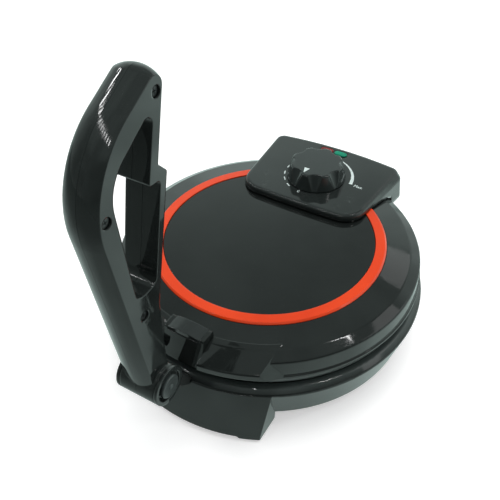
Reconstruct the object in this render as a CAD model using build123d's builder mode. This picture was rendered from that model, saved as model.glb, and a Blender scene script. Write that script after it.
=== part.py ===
from build123d import *
import os
from math import cos, radians, sin, sqrt, tan

# Electric flatbread maker: a round base with a heated plate, a hinged lid with
# a second plate, a temperature control on the lid and an upright press handle
# at the front.  Millimetres.  +Z is up and Z = 0 is the surface it stands on.
# The plates' common axis is the Z axis, the handle is at -Y and the lid hinge
# at +Y.

os.makedirs("parts", exist_ok=True)

# ---------------------------------------------------------------- base
LID_R = 151.0               # lid side wall: the radius that the other round parts follow
WALL = 2.5                  # moulded wall of the base and of the lid
RIM_R = LID_R + 6.0         # widest radius of the base, at its shoulder
BASE_FOOT_R = RIM_R - 11.0  # radius of the base wall at its lower edge
BASE_UNDER_Z = 16.0         # lower edge of the base wall
SHOULDER_Z = 55.0           # height of the shoulder
BASE_TOP_Z = 61.0           # top face of the base, under the lid
WELL_R = LID_R - 19.0       # opening in the base and in the lid for a plate
WELL_DEPTH = 10.0           # depth of the lip around that opening

# ---------------------------------------------------------------- front apron
APRON_HALF_WIDTH = 75.2     # at its feet
APRON_SHOULDER_HALF_WIDTH = APRON_HALF_WIDTH + 4.6
APRON_FOOT_R = RIM_R + 11.5  # radius of the flared front at its lower edge
APRON_UNDER_Z = 6.0         # lower edge between the two front feet
APRON_WALL = 3.0
APRON_HOLLOW_Z = 47.0       # top of the hollow behind the apron
FOOT_WIDTH = 17.5           # width of each front foot
PAD_HEIGHT = 2.5            # rubber pad under every foot
PAD_INSET = 2.0

# ---------------------------------------------------------------- rear feet
REAR_FOOT_X = BASE_FOOT_R - 68.0
REAR_FOOT_Y = BASE_FOOT_R - 48.0
REAR_FOOT_R = 13.0

# ---------------------------------------------------------------- heated plates
PLATE_RIM_R = WELL_R - 2.0
PLATE_R = PLATE_RIM_R - 5.0  # cooking face
PLATE_THICKNESS = 5.0
PLATE_PROUD = 2.0           # how far the lower plate stands above the base
PLATE_GAP = 1.2             # gap between the closed plates
ELEMENT_R = PLATE_R - 39.0  # centre line of the tubular heating element
ELEMENT_TUBE_R = 3.4
ELEMENT_SINK = 0.8          # air between the tube and the back of its plate
ELEMENT_GAP_ANGLE = 24.0    # open part of the element's ring, at the rear
ELEMENT_RIB_WIDTH = 13.0
BOSS_CIRCLE_R = PLATE_R - 25.0  # plate fixing bosses
BOSS_COUNT = 4
BOSS_R = 6.5
BOSS_LENGTH = 14.0          # of the lower plate's bosses
UPPER_BOSS_LENGTH = 12.0
SHIELD_R = WELL_R - 13.0    # pressed steel heat shield
SHIELD_THICKNESS = 0.8
SHIELD_LIP = 6.0
SHIELD_TERMINAL_GAP = 1.5   # around an element end in a heat shield
TERMINAL_DROP = 17.0        # element ends, from the tube to their tips
TERMINAL_BLOCK_WIDTH = 16.0
TERMINAL_BLOCK_END = 7.0    # length beyond an element end
TERMINAL_BLOCK_NOTCH = 6.0
COVER_SCREW_CIRCLE_R = BASE_FOOT_R - 6.8
COVER_SCREW_COUNT = 4
COVER_SCREW_LENGTH = 14.0
COVER_POST_R = 4.4
SCREW_R = 2.0
SCREW_HEAD_R = 4.0
SCREW_HEAD_HEIGHT = 2.4
SCREW_PLAY = 0.15           # clearance around a screw's shank in a through hole

# ---------------------------------------------------------------- lid
LID_GAP = 3.0               # base top to the underside of the lid
LID_STOP_CIRCLE_R = LID_R - 10.0  # stops on the base, under the lid's front
LID_STOP_R = 3.0
LID_SKIRT_R = LID_R - 2.5   # recessed band below the wall
LID_LIP_R = LID_R + 1.5
LID_SIDE_FOOT_Z = 75.0      # lower edge of the side wall
LID_CHAMFER_Z = 93.0
LID_CHAMFER_TOP_Z = 98.3
LID_CHAMFER_R = LID_R - 10.5
LID_SLOPE_TOP_Z = 103.0
RING_TOP_Z = 105.0          # flat top of the coloured trim ring
RING_R = LID_R - 36.0
RING_INNER_R = RING_R - 9.3
RING_BEVEL = 1.5
RING_SEAT_DEPTH = 1.6
PANEL_TOP_Z = 104.2
PANEL_CHAMFER = 0.6
FIT_GAP = 0.15              # gap between two moulded pieces that meet

# ---------------------------------------------------------------- lid front tab
TAB_HALF_WIDTH = 76.5       # at its rear corners
TAB_REAR_R = LID_R - 15.8
TAB_REAR_Z = 100.0
TAB_FRONT_R = LID_R + 11.0
TAB_FRONT_Z = 90.5
TAB_LIP = 7.5
TAB_SIDE_TURN = 15.5        # the sides close in towards the front
TAB_SIDE_DRAFT = 29.0       # and spread downwards
TAB_SIDE_WALL = 9.0
TAB_CHAMFER = 1.0
TAB_WALL = 3.0

# ---------------------------------------------------------------- press block
BLOCK_HALF_WIDTH = 20.5
BLOCK_REAR_R = LID_R - 17.0
BLOCK_FRONT_R = LID_R - 2.5
BLOCK_FOOT_R = LID_R + 5.0
BLOCK_FOOT_Z = 75.5
BLOCK_TOP_Z = 106.0
BLOCK_LIP_WIDTH = 4.0
BLOCK_WALL = 3.6
BLOCK_POST_XY = ((-12.0, 11.0 - LID_R), (12.0, 11.0 - LID_R))
PAD_SEAT_DEPTH = 2.4
PAD_RISE = 2.6              # height of the pad's crown above the block's lips

# ---------------------------------------------------------------- handle pivot
PIVOT_Y = -RIM_R - 38.0
PIVOT_Z = 102.0
BARREL_R = 17.5
BARREL_HALF_WIDTH = 20.0
BARREL_GROOVE_DEPTH = 0.8
PIVOT_PIN_R = 4.0
PIN_RUNNING_GAP = 0.05
ARM_HALF_WIDTH = 8.0
ARM_HEAD_R = 13.0
ARM_SLOT_GAP = 0.35
ARM_LEAN = 30.6             # arm's lean from upright, towards the handle
ARM_FRONT_WIDTH = 10.0      # from the arm's centre line to its front edge, at the head
ARM_ENTRY = (-RIM_R - 1.0, 52.0)  # (Y, Z) where the front edge passes into the shoulder
ARM_KNEE = (-RIM_R + 8.5, 43.0)   # below it, inside the base wall
ARM_HEEL_Y = -BASE_FOOT_R + 5.0
ARM_FOOT_Y = ARM_HEEL_Y + 23.0  # inner end of the arm's foot
ARM_FOOT_HEIGHT = 6.0
ARM_BEND_R = 6.0            # rounded bends above the foot
ARM_SCREW_YS = (ARM_FOOT_Y - 7.0, ARM_FOOT_Y - 18.0)
ARM_SLOT_START = -120.0     # angles of the slot that clears the arm, from +Y
ARM_SLOT_END = 52.0
ARM_SLOT_REACH = 60.0
HANDLE_SWING = 61.0         # swing of the pressed handle that the slot leaves room for
GROOVE_X = 16.4             # groove around each end of the barrel
GROOVE_WIDTH = 1.0
CAP_RECESS_R = 13.5
CAP_RECESS_DEPTH = 3.0
CAP_R = 10.5
CAP_RISE = 1.6              # how far a cap stands out of the barrel's end
CAP_DIMPLE_R = 2.4

# ---------------------------------------------------------------- handle
HANDLE_HALF_WIDTH = 14.5
SPINE_CROWN = 4.2           # how far the rounded back stands out
SPINE_FOOT = (-10.8, 0.0)   # corners of the side outline, from the pivot
SPINE_BEND = (-33.2, 214.2)
SPINE_BEND_R = 75.0
HANDLE_TOP = (48.8, 259.2)
HANDLE_TOP_R = 7.0
HANDLE_STEP_UP = (30.6, 194.0)
HANDLE_STEP_DOWN = (38.4, 185.0)
HANDLE_WAIST = (10.6, 84.0)
HANDLE_HEEL = (8.0, 36.0)
HANDLE_WALL = 2.6
LOOP_TOP = (34.6, 235.8)    # corners of the finger loop, from the pivot
LOOP_SHOULDER = (-15.0, 204.3)
LOOP_SHOULDER_R = 34.0
LOOP_FOOT = (-10.3, 104.5)
LOOP_FOOT_INNER = (11.0, 104.5)
LOOP_LEDGE = (31.0, 181.5)
LOOP_LEDGE_INNER = (19.2, 182.8)
HANDLE_SCREW_POINTS = ((38.0, 241.5), (-21.5, 183.0), (-6.0, 86.0))
HANDLE_BOSS_R = 5.0
HANDLE_SCREW_SINK = 4.0     # depth of the screw head recesses
HANDLE_HOLLOW_FOOT = 68.0   # the shells are hollow above this height
HOLLOW_HALF_WIDTH = 12.0
CAM_HALF_WIDTH = 7.5
CAM_NOSE = (11.0, 53.0)
CAM_NOSE_R = 9.0
CAM_ROOT = -7.0             # rear end of the cam, from the pivot
CAM_PEG = (0.0, 53.0)       # peg in the shells that holds the cam
CAM_PEG_R = 3.0

# ---------------------------------------------------------------- control box
BOX_FRONT_Y = LID_R - 98.5
BOX_CORNER_Y = BOX_FRONT_Y + 2.0
BOX_FRONT_HALF_WIDTH = 67.5
BOX_REAR_HALF_WIDTH = 74.5
BOX_REAR_Y = LID_R + 13.5
BOX_REAR_CORNER_Y = BOX_REAR_Y - 6.5
BOX_TOP_Z = 112.8
BOX_WAIST_Z = 105.5         # height where the flare of the rim ends
BOX_UNDER_Z = 105.8
BOX_SKIRT_Z = 82.0          # lower edge of the part behind the lid
BOX_FLARE = 1.0             # how much wider the upper cover is at its waist
BOX_REAR_FLARE = 5.5        # the same at the rear corners
BOX_SKIRT_FLARE = 1.5       # how much wider it is at its lower edge
BOX_SKIRT_REAR_FLARE = 8.0
BOX_EDGE_R = 2.4            # rounded edge around the top
BOX_WALL = 2.5
BOX_CORNER_R = 24.0
BOX_REAR_CORNER_R = 9.0
BOX_LID_GAP = 1.0           # air between the housing and the lid
BOX_POST_R = 4.5
BOX_SCREW_DEPTH = 2.6       # of the screws in the upper cover's posts
BOX_SCREW_XY = (
    (-42.0, BOX_FRONT_Y + 11.0),
    (42.0, BOX_FRONT_Y + 11.0),
    (-50.0, BOX_FRONT_Y + 29.0),
    (50.0, BOX_FRONT_Y + 29.0),
)

# ---------------------------------------------------------------- knob and lamps
KNOB_Y = BOX_FRONT_Y + 51.0
KNOB_R = 32.0
KNOB_TOP_R = 28.0
KNOB_HEIGHT = 18.0
KNOB_LIFT = 0.5             # running gap under the knob
SCALLOP_COUNT = 8
SCALLOP_R = 12.0            # radius of a grip hollow at the knob's top
SCALLOP_DEPTH = 4.0
SCALLOP_TAPER = 23.0        # a hollow narrows downwards and runs out
SPINDLE_R = 3.0
THERMOSTAT_R = 14.0
THERMOSTAT_Z = 86.0
THERMOSTAT_TOP_Z = 101.0    # of its can, under the ring's seat
THERMOSTAT_NECK_R = 9.0
THERMOSTAT_NECK_HOLE_R = 10.0
THERMOSTAT_HOLE_R = 15.5
NECK_R = 4.2                # threaded neck through the housing
NUT_R = 6.5
NUT_HEIGHT = 2.5
LAMP_X = 8.5                # from the middle of the pair
LAMP_MID_X = -3.0
LAMP_Y = BOX_REAR_Y - 10.5
LAMP_LENGTH = 15.0
LAMP_CORNER_R = 3.5
LAMP_WIDTH = 8.0
LAMP_RISE = 1.0
LAMP_FLANGE = 1.5
GLAND_X = -44.0             # cord gland in the back of the control housing
GLAND_Z = 96.0
GLAND_R = 5.0
GLAND_BORE_R = 3.4
GLAND_DEPTH = 6.0
GLAND_FLANGE = 1.8
GLAND_FLANGE_DEPTH = 2.5
GLAND_WALL_Y = BOX_REAR_Y - 2.0  # flat spot in the housing's rear wall

# ---------------------------------------------------------------- lid hinge
HINGE_Y = LID_R + 9.0
HINGE_Z = 70.0
HINGE_KNUCKLE_R = 7.0
HINGE_PIN_R = 3.0
KNUCKLE_HALF_WIDTH = 30.0
HINGE_SIDE_GAP = 0.4
HINGE_LUG_WIDTH = 8.0
HINGE_BAR_REAR_Y = HINGE_Y + 4.0  # rear face of the bracket's cross bar
HINGE_PIN_HEAD = 2.0        # rim and thickness of the pin's head
HINGE_BAR_Z = 30.0
HINGE_BAR_HEIGHT = 22.0
HINGE_SCREW_X = 18.0

# ---------------------------------------------------------------- derived sizes
LOWER_FACE_Z = BASE_TOP_Z + PLATE_PROUD
UPPER_FACE_Z = LOWER_FACE_Z + PLATE_GAP
LID_UNDER_Z = BASE_TOP_Z + LID_GAP
SEAT_Z = LID_SLOPE_TOP_Z - RING_SEAT_DEPTH
LID_CEILING_Z = SEAT_Z - WALL
COVER_TOP_Z = BASE_UNDER_Z + WALL
ELEMENT_Z = LOWER_FACE_Z - PLATE_THICKNESS - ELEMENT_TUBE_R - ELEMENT_SINK
BOSS_FOOT_Z = LOWER_FACE_Z - PLATE_THICKNESS - BOSS_LENGTH
UPPER_ELEMENT_Z = UPPER_FACE_Z + PLATE_THICKNESS + ELEMENT_TUBE_R + ELEMENT_SINK
BOSS_HEAD_Z = UPPER_FACE_Z + PLATE_THICKNESS + UPPER_BOSS_LENGTH
HINGE_SCREW_Z = HINGE_BAR_Z + HINGE_BAR_HEIGHT / 2
HANDLE_PLANE = Plane(origin=(0, PIVOT_Y, PIVOT_Z), x_dir=(0, 1, 0), z_dir=(1, 0, 0))
TALL = 400.0                # longer than any cut needs


def closed_outline(*corners):
    """Draw a closed outline through (x, y, corner radius) corners."""
    points = [(x, y) for x, y, _ in corners]
    radii = [radius for _, _, radius in corners]
    FilletPolyline(*points, radius=radii, close=True)


def base_wall_r(z):
    """Outer radius of the tapering base wall at height z."""
    share = (z - BASE_UNDER_Z) / (SHOULDER_Z - BASE_UNDER_Z)
    return BASE_FOOT_R + share * (RIM_R - BASE_FOOT_R)


def apron_r(z):
    """Outer radius of the flared front apron at height z."""
    share = (SHOULDER_Z - z) / (SHOULDER_Z - APRON_UNDER_Z)
    return RIM_R + share * (APRON_FOOT_R - RIM_R)


def boss_places():
    """Polar places of the plate fixings."""
    return PolarLocations(BOSS_CIRCLE_R, BOSS_COUNT, start_angle=45)


def arm_corner(down, out):
    """A point of the bracket arm: down its centre line and out towards the lid."""
    lean = radians(ARM_LEAN)
    y = PIVOT_Y + down * sin(lean) + out * cos(lean)
    z = PIVOT_Z - down * cos(lean) + out * sin(lean)
    return y, z


def arm_outline():
    """Side outline of the bracket arm, below its round head."""
    foot_top_z = COVER_TOP_Z + ARM_FOOT_HEIGHT
    down = (PIVOT_Z + ARM_HEAD_R * sin(radians(ARM_LEAN)) - foot_top_z) / cos(radians(ARM_LEAN))
    closed_outline(
        (*arm_corner(0, ARM_HEAD_R), 0),
        (*arm_corner(down, ARM_HEAD_R), ARM_BEND_R),
        (ARM_FOOT_Y, foot_top_z, 0),
        (ARM_FOOT_Y, COVER_TOP_Z, 0),
        (ARM_HEEL_Y, COVER_TOP_Z, 0),
        (*ARM_KNEE, ARM_BEND_R),
        (*ARM_ENTRY, 0),
        (*arm_corner(0, -ARM_FRONT_WIDTH), 0),
    )


def handle_outline():
    """Side outline of the handle, from the pivot."""
    closed_outline(
        (*SPINE_FOOT, 0),
        (*SPINE_BEND, SPINE_BEND_R),
        (*HANDLE_TOP, HANDLE_TOP_R),
        (*HANDLE_STEP_UP, 1.5),
        (*HANDLE_STEP_DOWN, 2.5),
        (*HANDLE_WAIST, 30.0),
        (*HANDLE_HEEL, 0),
        (HANDLE_HEEL[0], 0, 0),
    )


def loop_outline():
    """Side outline of the finger loop through the handle, from the pivot."""
    closed_outline(
        (*LOOP_LEDGE_INNER, 2.0),
        (*LOOP_TOP, 5.0),
        (*LOOP_SHOULDER, LOOP_SHOULDER_R),
        (*LOOP_FOOT, 8.0),
        (*LOOP_FOOT_INNER, 8.0),
        (*LOOP_LEDGE, 3.0),
    )


def cam_outline():
    """Side outline of the press cam, from the pivot."""
    nose_y, nose_z = CAM_NOSE
    Line((nose_y, nose_z - CAM_NOSE_R), (CAM_ROOT, nose_z - CAM_NOSE_R))
    Line((CAM_ROOT, nose_z - CAM_NOSE_R), (CAM_ROOT, nose_z + CAM_NOSE_R))
    Line((CAM_ROOT, nose_z + CAM_NOSE_R), (nose_y, nose_z + CAM_NOSE_R))
    ThreePointArc(
        (nose_y, nose_z + CAM_NOSE_R),
        (nose_y + CAM_NOSE_R, nose_z),
        (nose_y, nose_z - CAM_NOSE_R),
    )


def arm_sector():
    """Sector that the bracket arm sweeps through inside the barrel."""
    angles = [ARM_SLOT_START, (ARM_SLOT_START + ARM_SLOT_END) / 2, ARM_SLOT_END]
    start, middle, end = [
        (ARM_SLOT_REACH * cos(radians(a)), ARM_SLOT_REACH * sin(radians(a))) for a in angles
    ]
    Line((0, 0), start)
    ThreePointArc(start, middle, end)
    Line(end, (0, 0))


def control_outline(front_grow, rear_grow):
    """Plan outline of the control housing with rounded corners, grown outwards."""
    front_x = BOX_FRONT_HALF_WIDTH + front_grow
    rear_x = BOX_REAR_HALF_WIDTH + rear_grow
    front_left = (-front_x, BOX_CORNER_Y - front_grow)
    front_right = (front_x, BOX_CORNER_Y - front_grow)
    rear_left = (-rear_x, BOX_REAR_CORNER_Y + front_grow)
    rear_right = (rear_x, BOX_REAR_CORNER_Y + front_grow)
    ThreePointArc(front_left, (0, BOX_FRONT_Y - front_grow), front_right)
    Line(front_right, rear_right)
    ThreePointArc(rear_right, (0, BOX_REAR_Y + front_grow), rear_left)
    Line(rear_left, front_left)


def round_corners(sketch):
    """Round the four plan corners of the control housing."""
    corners = sketch.vertices().sort_by(Axis.Y)
    fillet(corners[:2], radius=BOX_CORNER_R)
    corners = sketch.vertices().sort_by(Axis.Y)
    fillet(corners[-2:], radius=BOX_REAR_CORNER_R)


def lid_envelope(grow):
    """Half section of the space kept free above the lid, grown by grow."""
    closed_outline(
        (0, BASE_TOP_Z, 0),
        (LID_LIP_R + BOX_LID_GAP + grow, BASE_TOP_Z, 0),
        (LID_LIP_R + BOX_LID_GAP + grow, LID_CHAMFER_Z, 0),
        (LID_CHAMFER_R + BOX_LID_GAP + grow, LID_CHAMFER_TOP_Z + BOX_LID_GAP + grow, 0),
        (RING_R + RING_BEVEL + BOX_LID_GAP + grow, BOX_UNDER_Z - BOX_LID_GAP + grow, 0),
        (RING_R + RING_BEVEL + BOX_LID_GAP + grow, BOX_UNDER_Z + grow, 0),
        (0, BOX_UNDER_Z + grow, 0),
    )


# ================================================================ base_shell
# Flared front form with the two front feet at its ends.  It is hollow behind its
# front wall, open downwards, and ends inside the round wall that carries it.
with BuildPart() as apron_form:
    with BuildSketch(Plane.XZ):
        with BuildLine():
            closed_outline(
                (BASE_FOOT_R - WALL, SHOULDER_Z - WALL, 0),
                (RIM_R - WALL, SHOULDER_Z - 0.5, 0),
                (RIM_R, SHOULDER_Z - 0.5, 0),
                (apron_r(PAD_HEIGHT), PAD_HEIGHT, 2.0),
                (BASE_FOOT_R - WALL, PAD_HEIGHT, 0),
            )
        make_face()
    revolve(axis=Axis.Z)
    with BuildSketch(Plane.XZ):
        with BuildLine():
            closed_outline(
                (-APRON_HALF_WIDTH, 0, 0),
                (-APRON_SHOULDER_HALF_WIDTH, SHOULDER_Z, 0),
                (APRON_SHOULDER_HALF_WIDTH, SHOULDER_Z, 0),
                (APRON_HALF_WIDTH, 0, 0),
            )
        make_face()
    extrude(amount=TALL, mode=Mode.INTERSECT)
    with BuildSketch(Plane.XZ):
        with BuildLine():
            closed_outline(
                (-APRON_HALF_WIDTH + FOOT_WIDTH, -PAD_HEIGHT, 0),
                (-APRON_HALF_WIDTH + FOOT_WIDTH, APRON_UNDER_Z, 2.5),
                (APRON_HALF_WIDTH - FOOT_WIDTH, APRON_UNDER_Z, 2.5),
                (APRON_HALF_WIDTH - FOOT_WIDTH, -PAD_HEIGHT, 0),
            )
        make_face()
    extrude(amount=TALL, mode=Mode.SUBTRACT)

    with BuildSketch(Plane.XZ):
        with BuildLine():
            closed_outline(
                (0, 0, 0),
                (BASE_FOOT_R - WALL, 0, 0),
                (base_wall_r(BASE_UNDER_Z) - WALL / 2, BASE_UNDER_Z, 0),
                (base_wall_r(SHOULDER_Z) - WALL / 2, SHOULDER_Z, 0),
                (0, SHOULDER_Z, 0),
            )
        make_face()
    revolve(axis=Axis.Z, mode=Mode.SUBTRACT)

with BuildPart() as apron_hollow:
    with BuildSketch(Plane.XZ):
        with BuildLine():
            closed_outline(
                (BASE_FOOT_R - 2 * WALL, 0, 0),
                (apron_r(0) - APRON_WALL, 0, 0),
                (apron_r(APRON_HOLLOW_Z) - APRON_WALL, APRON_HOLLOW_Z, 0),
                (base_wall_r(APRON_HOLLOW_Z), APRON_HOLLOW_Z, 0),
                (base_wall_r(BASE_UNDER_Z), BASE_UNDER_Z, 0),
                (BASE_FOOT_R - 2 * WALL, BASE_UNDER_Z, 0),
            )
        make_face()
    revolve(axis=Axis.Z)
    with BuildSketch():
        with Locations((0, -RIM_R)):
            Rectangle(2 * (APRON_HALF_WIDTH - FOOT_WIDTH - APRON_WALL), RIM_R)
    extrude(amount=TALL, mode=Mode.INTERSECT)

with BuildPart() as base_shell:
    with BuildSketch(Plane.XZ):
        with BuildLine():
            closed_outline(
                (BASE_FOOT_R, BASE_UNDER_Z, 0),
                (RIM_R, SHOULDER_Z, 2.5),
                (LID_R, BASE_TOP_Z - 1, 4.0),
                (WELL_R + 4, BASE_TOP_Z, 0),
                (WELL_R, BASE_TOP_Z, 1.5),
                (WELL_R, BASE_TOP_Z - WELL_DEPTH, 0),
                (WELL_R + WALL, BASE_TOP_Z - WELL_DEPTH, 0),
                (WELL_R + WALL, BASE_TOP_Z - WALL, 0),
                (LID_R - 1, BASE_TOP_Z - WALL - 1, 2.0),
                (RIM_R - WALL, SHOULDER_Z - 0.8, 1.0),
                (BASE_FOOT_R - WALL, BASE_UNDER_Z, 0),
            )
        make_face()
    revolve(axis=Axis.Z)
    add(apron_form.part)
    add(apron_hollow.part, mode=Mode.SUBTRACT)
    # slot in the shoulder and the apron for the handle's bracket arm
    with BuildSketch(Plane.YZ):
        with BuildLine():
            arm_outline()
        make_face()
        offset(amount=FIT_GAP, kind=Kind.INTERSECTION)
    extrude(amount=ARM_HALF_WIDTH + FIT_GAP, both=True, mode=Mode.SUBTRACT)
    # two low stops that the closed lid rests on
    with BuildSketch(Plane.XY.offset(BASE_TOP_Z - WALL / 2)):
        with PolarLocations(LID_STOP_CIRCLE_R, 2, start_angle=-135, angular_range=180, endpoint=False):
            Circle(LID_STOP_R)
    extrude(amount=LID_GAP + WALL / 2)
    # posts for the screws of the bottom cover
    with BuildSketch(Plane.XY.offset(COVER_TOP_Z)):
        with PolarLocations(COVER_SCREW_CIRCLE_R, COVER_SCREW_COUNT, start_angle=30):
            Circle(COVER_POST_R)
    extrude(amount=BASE_TOP_Z - WALL / 2 - COVER_TOP_Z)
    with BuildSketch(Plane.XY.offset(COVER_TOP_Z)):
        with PolarLocations(COVER_SCREW_CIRCLE_R, COVER_SCREW_COUNT, start_angle=30):
            Circle(SCREW_R)
    extrude(amount=COVER_SCREW_LENGTH, mode=Mode.SUBTRACT)
    # holes for the hinge bracket's screws
    with BuildSketch(Plane.XZ):
        with Locations((-HINGE_SCREW_X, HINGE_SCREW_Z), (HINGE_SCREW_X, HINGE_SCREW_Z)):
            Circle(SCREW_R)
    extrude(amount=-TALL, mode=Mode.SUBTRACT)
base_shell.part.label = "base_shell"
export_step(base_shell.part, "parts/base_shell.step")


# ================================================================ base_bottom_cover
# Flat cover that closes the base from below, with the pillars that carry the
# lower plate and the two rear feet.
PILLAR_TOP_Z = BOSS_FOOT_Z - SHIELD_THICKNESS

with BuildPart() as base_bottom_cover:
    with BuildSketch(Plane.XY.offset(BASE_UNDER_Z)):
        Circle(BASE_FOOT_R - WALL - FIT_GAP)
    extrude(amount=WALL)
    with BuildSketch(Plane.XY.offset(COVER_TOP_Z)):
        with boss_places():
            Circle(BOSS_R)
    extrude(amount=PILLAR_TOP_Z - COVER_TOP_Z)
    with BuildSketch(Plane.XY.offset(PAD_HEIGHT)):
        with Locations((-REAR_FOOT_X, REAR_FOOT_Y), (REAR_FOOT_X, REAR_FOOT_Y)):
            Circle(REAR_FOOT_R)
    extrude(amount=BASE_UNDER_Z - PAD_HEIGHT, taper=-6)
    with BuildSketch(Plane.XY.offset(BASE_UNDER_Z)):
        with boss_places():
            Circle(SCREW_R + SCREW_PLAY)
        with PolarLocations(COVER_SCREW_CIRCLE_R, COVER_SCREW_COUNT, start_angle=30):
            Circle(SCREW_R + SCREW_PLAY)
        with Locations(*[(0, y) for y in ARM_SCREW_YS]):
            Circle(SCREW_R + SCREW_PLAY)
    extrude(amount=TALL, mode=Mode.SUBTRACT)
base_bottom_cover.part.label = "base_bottom_cover"
export_step(base_bottom_cover.part, "parts/base_bottom_cover.step")


# ================================================================ foot_pads
with BuildPart() as foot_pads:
    with BuildSketch():
        with Locations(
            (-APRON_HALF_WIDTH + FOOT_WIDTH / 2, -RIM_R),
            (APRON_HALF_WIDTH - FOOT_WIDTH / 2, -RIM_R),
        ):
            Rectangle(FOOT_WIDTH - 2 * PAD_INSET, RIM_R)
        Circle(apron_r(PAD_HEIGHT) - PAD_INSET - 1, mode=Mode.INTERSECT)
        Circle(BASE_FOOT_R - WALL + PAD_INSET, mode=Mode.SUBTRACT)
    extrude(amount=PAD_HEIGHT)
    with BuildSketch():
        with Locations((-REAR_FOOT_X, REAR_FOOT_Y), (REAR_FOOT_X, REAR_FOOT_Y)):
            Circle(REAR_FOOT_R - PAD_INSET)
    extrude(amount=PAD_HEIGHT)
foot_pads.part.label = "foot_pads"
export_step(foot_pads.part, "parts/foot_pads.step")


# ================================================================ plates
def plate_body(face_z, side):
    """Round cast plate: side is +1 with the cooking face up, -1 with it down."""
    back_z = face_z - side * PLATE_THICKNESS
    closed_outline(
        (0, face_z, 0),
        (PLATE_R, face_z, 1.5),
        (PLATE_R, face_z - side * PLATE_THICKNESS / 2, 0.8),
        (PLATE_RIM_R, face_z - side * PLATE_THICKNESS / 2, 0.8),
        (PLATE_RIM_R, back_z, 0),
        (0, back_z, 0),
    )


def element_rib(element_z, back_z):
    """Cast rib that holds the heating tube by its upper half."""
    closed_outline(
        (ELEMENT_R - ELEMENT_RIB_WIDTH / 2, back_z, 0),
        (ELEMENT_R + ELEMENT_RIB_WIDTH / 2, back_z, 0),
        (ELEMENT_R + ELEMENT_RIB_WIDTH / 2, element_z, 1.0),
        (ELEMENT_R - ELEMENT_RIB_WIDTH / 2, element_z, 1.0),
    )


with BuildPart() as lower_plate:
    with BuildSketch(Plane.XZ):
        with BuildLine():
            plate_body(LOWER_FACE_Z, 1)
        make_face()
        with BuildLine():
            element_rib(ELEMENT_Z, LOWER_FACE_Z - PLATE_THICKNESS)
        make_face()
    revolve(axis=Axis.Z)
    with BuildSketch(Plane.XY.offset(BOSS_FOOT_Z)):
        with boss_places():
            Circle(BOSS_R)
    extrude(amount=LOWER_FACE_Z - PLATE_THICKNESS - BOSS_FOOT_Z)
    with Locations((0, 0, ELEMENT_Z)):
        Torus(ELEMENT_R, ELEMENT_TUBE_R, mode=Mode.SUBTRACT)
    with BuildSketch(Plane.XY.offset(BOSS_FOOT_Z)):
        with boss_places():
            Circle(SCREW_R)
    extrude(amount=BOSS_R * 1.5, mode=Mode.SUBTRACT)
lower_plate.part.label = "lower_plate"
export_step(lower_plate.part, "parts/lower_plate.step")

with BuildPart() as upper_plate:
    with BuildSketch(Plane.XZ):
        with BuildLine():
            plate_body(UPPER_FACE_Z, -1)
        make_face()
        with BuildLine():
            element_rib(UPPER_ELEMENT_Z, UPPER_FACE_Z + PLATE_THICKNESS)
        make_face()
    revolve(axis=Axis.Z)
    with BuildSketch(Plane.XY.offset(UPPER_FACE_Z + PLATE_THICKNESS)):
        with boss_places():
            Circle(BOSS_R)
    extrude(amount=BOSS_HEAD_Z - UPPER_FACE_Z - PLATE_THICKNESS)
    with Locations((0, 0, UPPER_ELEMENT_Z)):
        Torus(ELEMENT_R, ELEMENT_TUBE_R, mode=Mode.SUBTRACT)
    with BuildSketch(Plane.XY.offset(BOSS_HEAD_Z)):
        with boss_places():
            Circle(SCREW_R)
    extrude(amount=-BOSS_R * 1.5, mode=Mode.SUBTRACT)
upper_plate.part.label = "upper_plate"
export_step(upper_plate.part, "parts/upper_plate.step")


# ================================================================ heating elements
# Tubular elements bent to an open ring, their ends turned away from the plate.
element_start = radians(90 + ELEMENT_GAP_ANGLE / 2)
ELEMENT_PLANE = Plane(
    origin=(0, 0, 0),
    x_dir=(cos(element_start), sin(element_start), 0),
    z_dir=(sin(element_start), -cos(element_start), 0),
)
terminal_x = ELEMENT_R * sin(radians(ELEMENT_GAP_ANGLE / 2))
terminal_y = ELEMENT_R * cos(radians(ELEMENT_GAP_ANGLE / 2))
TERMINAL_TIP_Z = ELEMENT_Z - TERMINAL_DROP

with BuildPart() as lower_element:
    with BuildSketch(ELEMENT_PLANE):
        with Locations((ELEMENT_R, ELEMENT_Z)):
            Circle(ELEMENT_TUBE_R)
    revolve(axis=Axis.Z, revolution_arc=360 - ELEMENT_GAP_ANGLE)
    with BuildSketch(Plane.XY.offset(TERMINAL_TIP_Z)):
        with Locations((-terminal_x, terminal_y), (terminal_x, terminal_y)):
            Circle(ELEMENT_TUBE_R)
    extrude(amount=TERMINAL_DROP)
lower_element.part.label = "lower_element"
export_step(lower_element.part, "parts/lower_element.step")

with BuildPart() as upper_element:
    with BuildSketch(ELEMENT_PLANE):
        with Locations((ELEMENT_R, UPPER_ELEMENT_Z)):
            Circle(ELEMENT_TUBE_R)
    revolve(axis=Axis.Z, revolution_arc=360 - ELEMENT_GAP_ANGLE)
    with BuildSketch(Plane.XY.offset(UPPER_ELEMENT_Z)):
        with Locations((-terminal_x, terminal_y), (terminal_x, terminal_y)):
            Circle(ELEMENT_TUBE_R)
    extrude(amount=TERMINAL_DROP)
upper_element.part.label = "upper_element"
export_step(upper_element.part, "parts/upper_element.step")


# ================================================================ heat shields
def shield_section(flat_z, lip_z):
    """Thin pressed dish: a flat disc with an upturned or downturned edge."""
    lip_side = 1 if lip_z > flat_z else -1
    closed_outline(
        (0, flat_z, 0),
        (SHIELD_R, flat_z, 2.0),
        (SHIELD_R, lip_z, 0),
        (SHIELD_R - SHIELD_THICKNESS, lip_z, 0),
        (SHIELD_R - SHIELD_THICKNESS, flat_z + lip_side * SHIELD_THICKNESS, 1.2),
        (0, flat_z + lip_side * SHIELD_THICKNESS, 0),
    )


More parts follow.
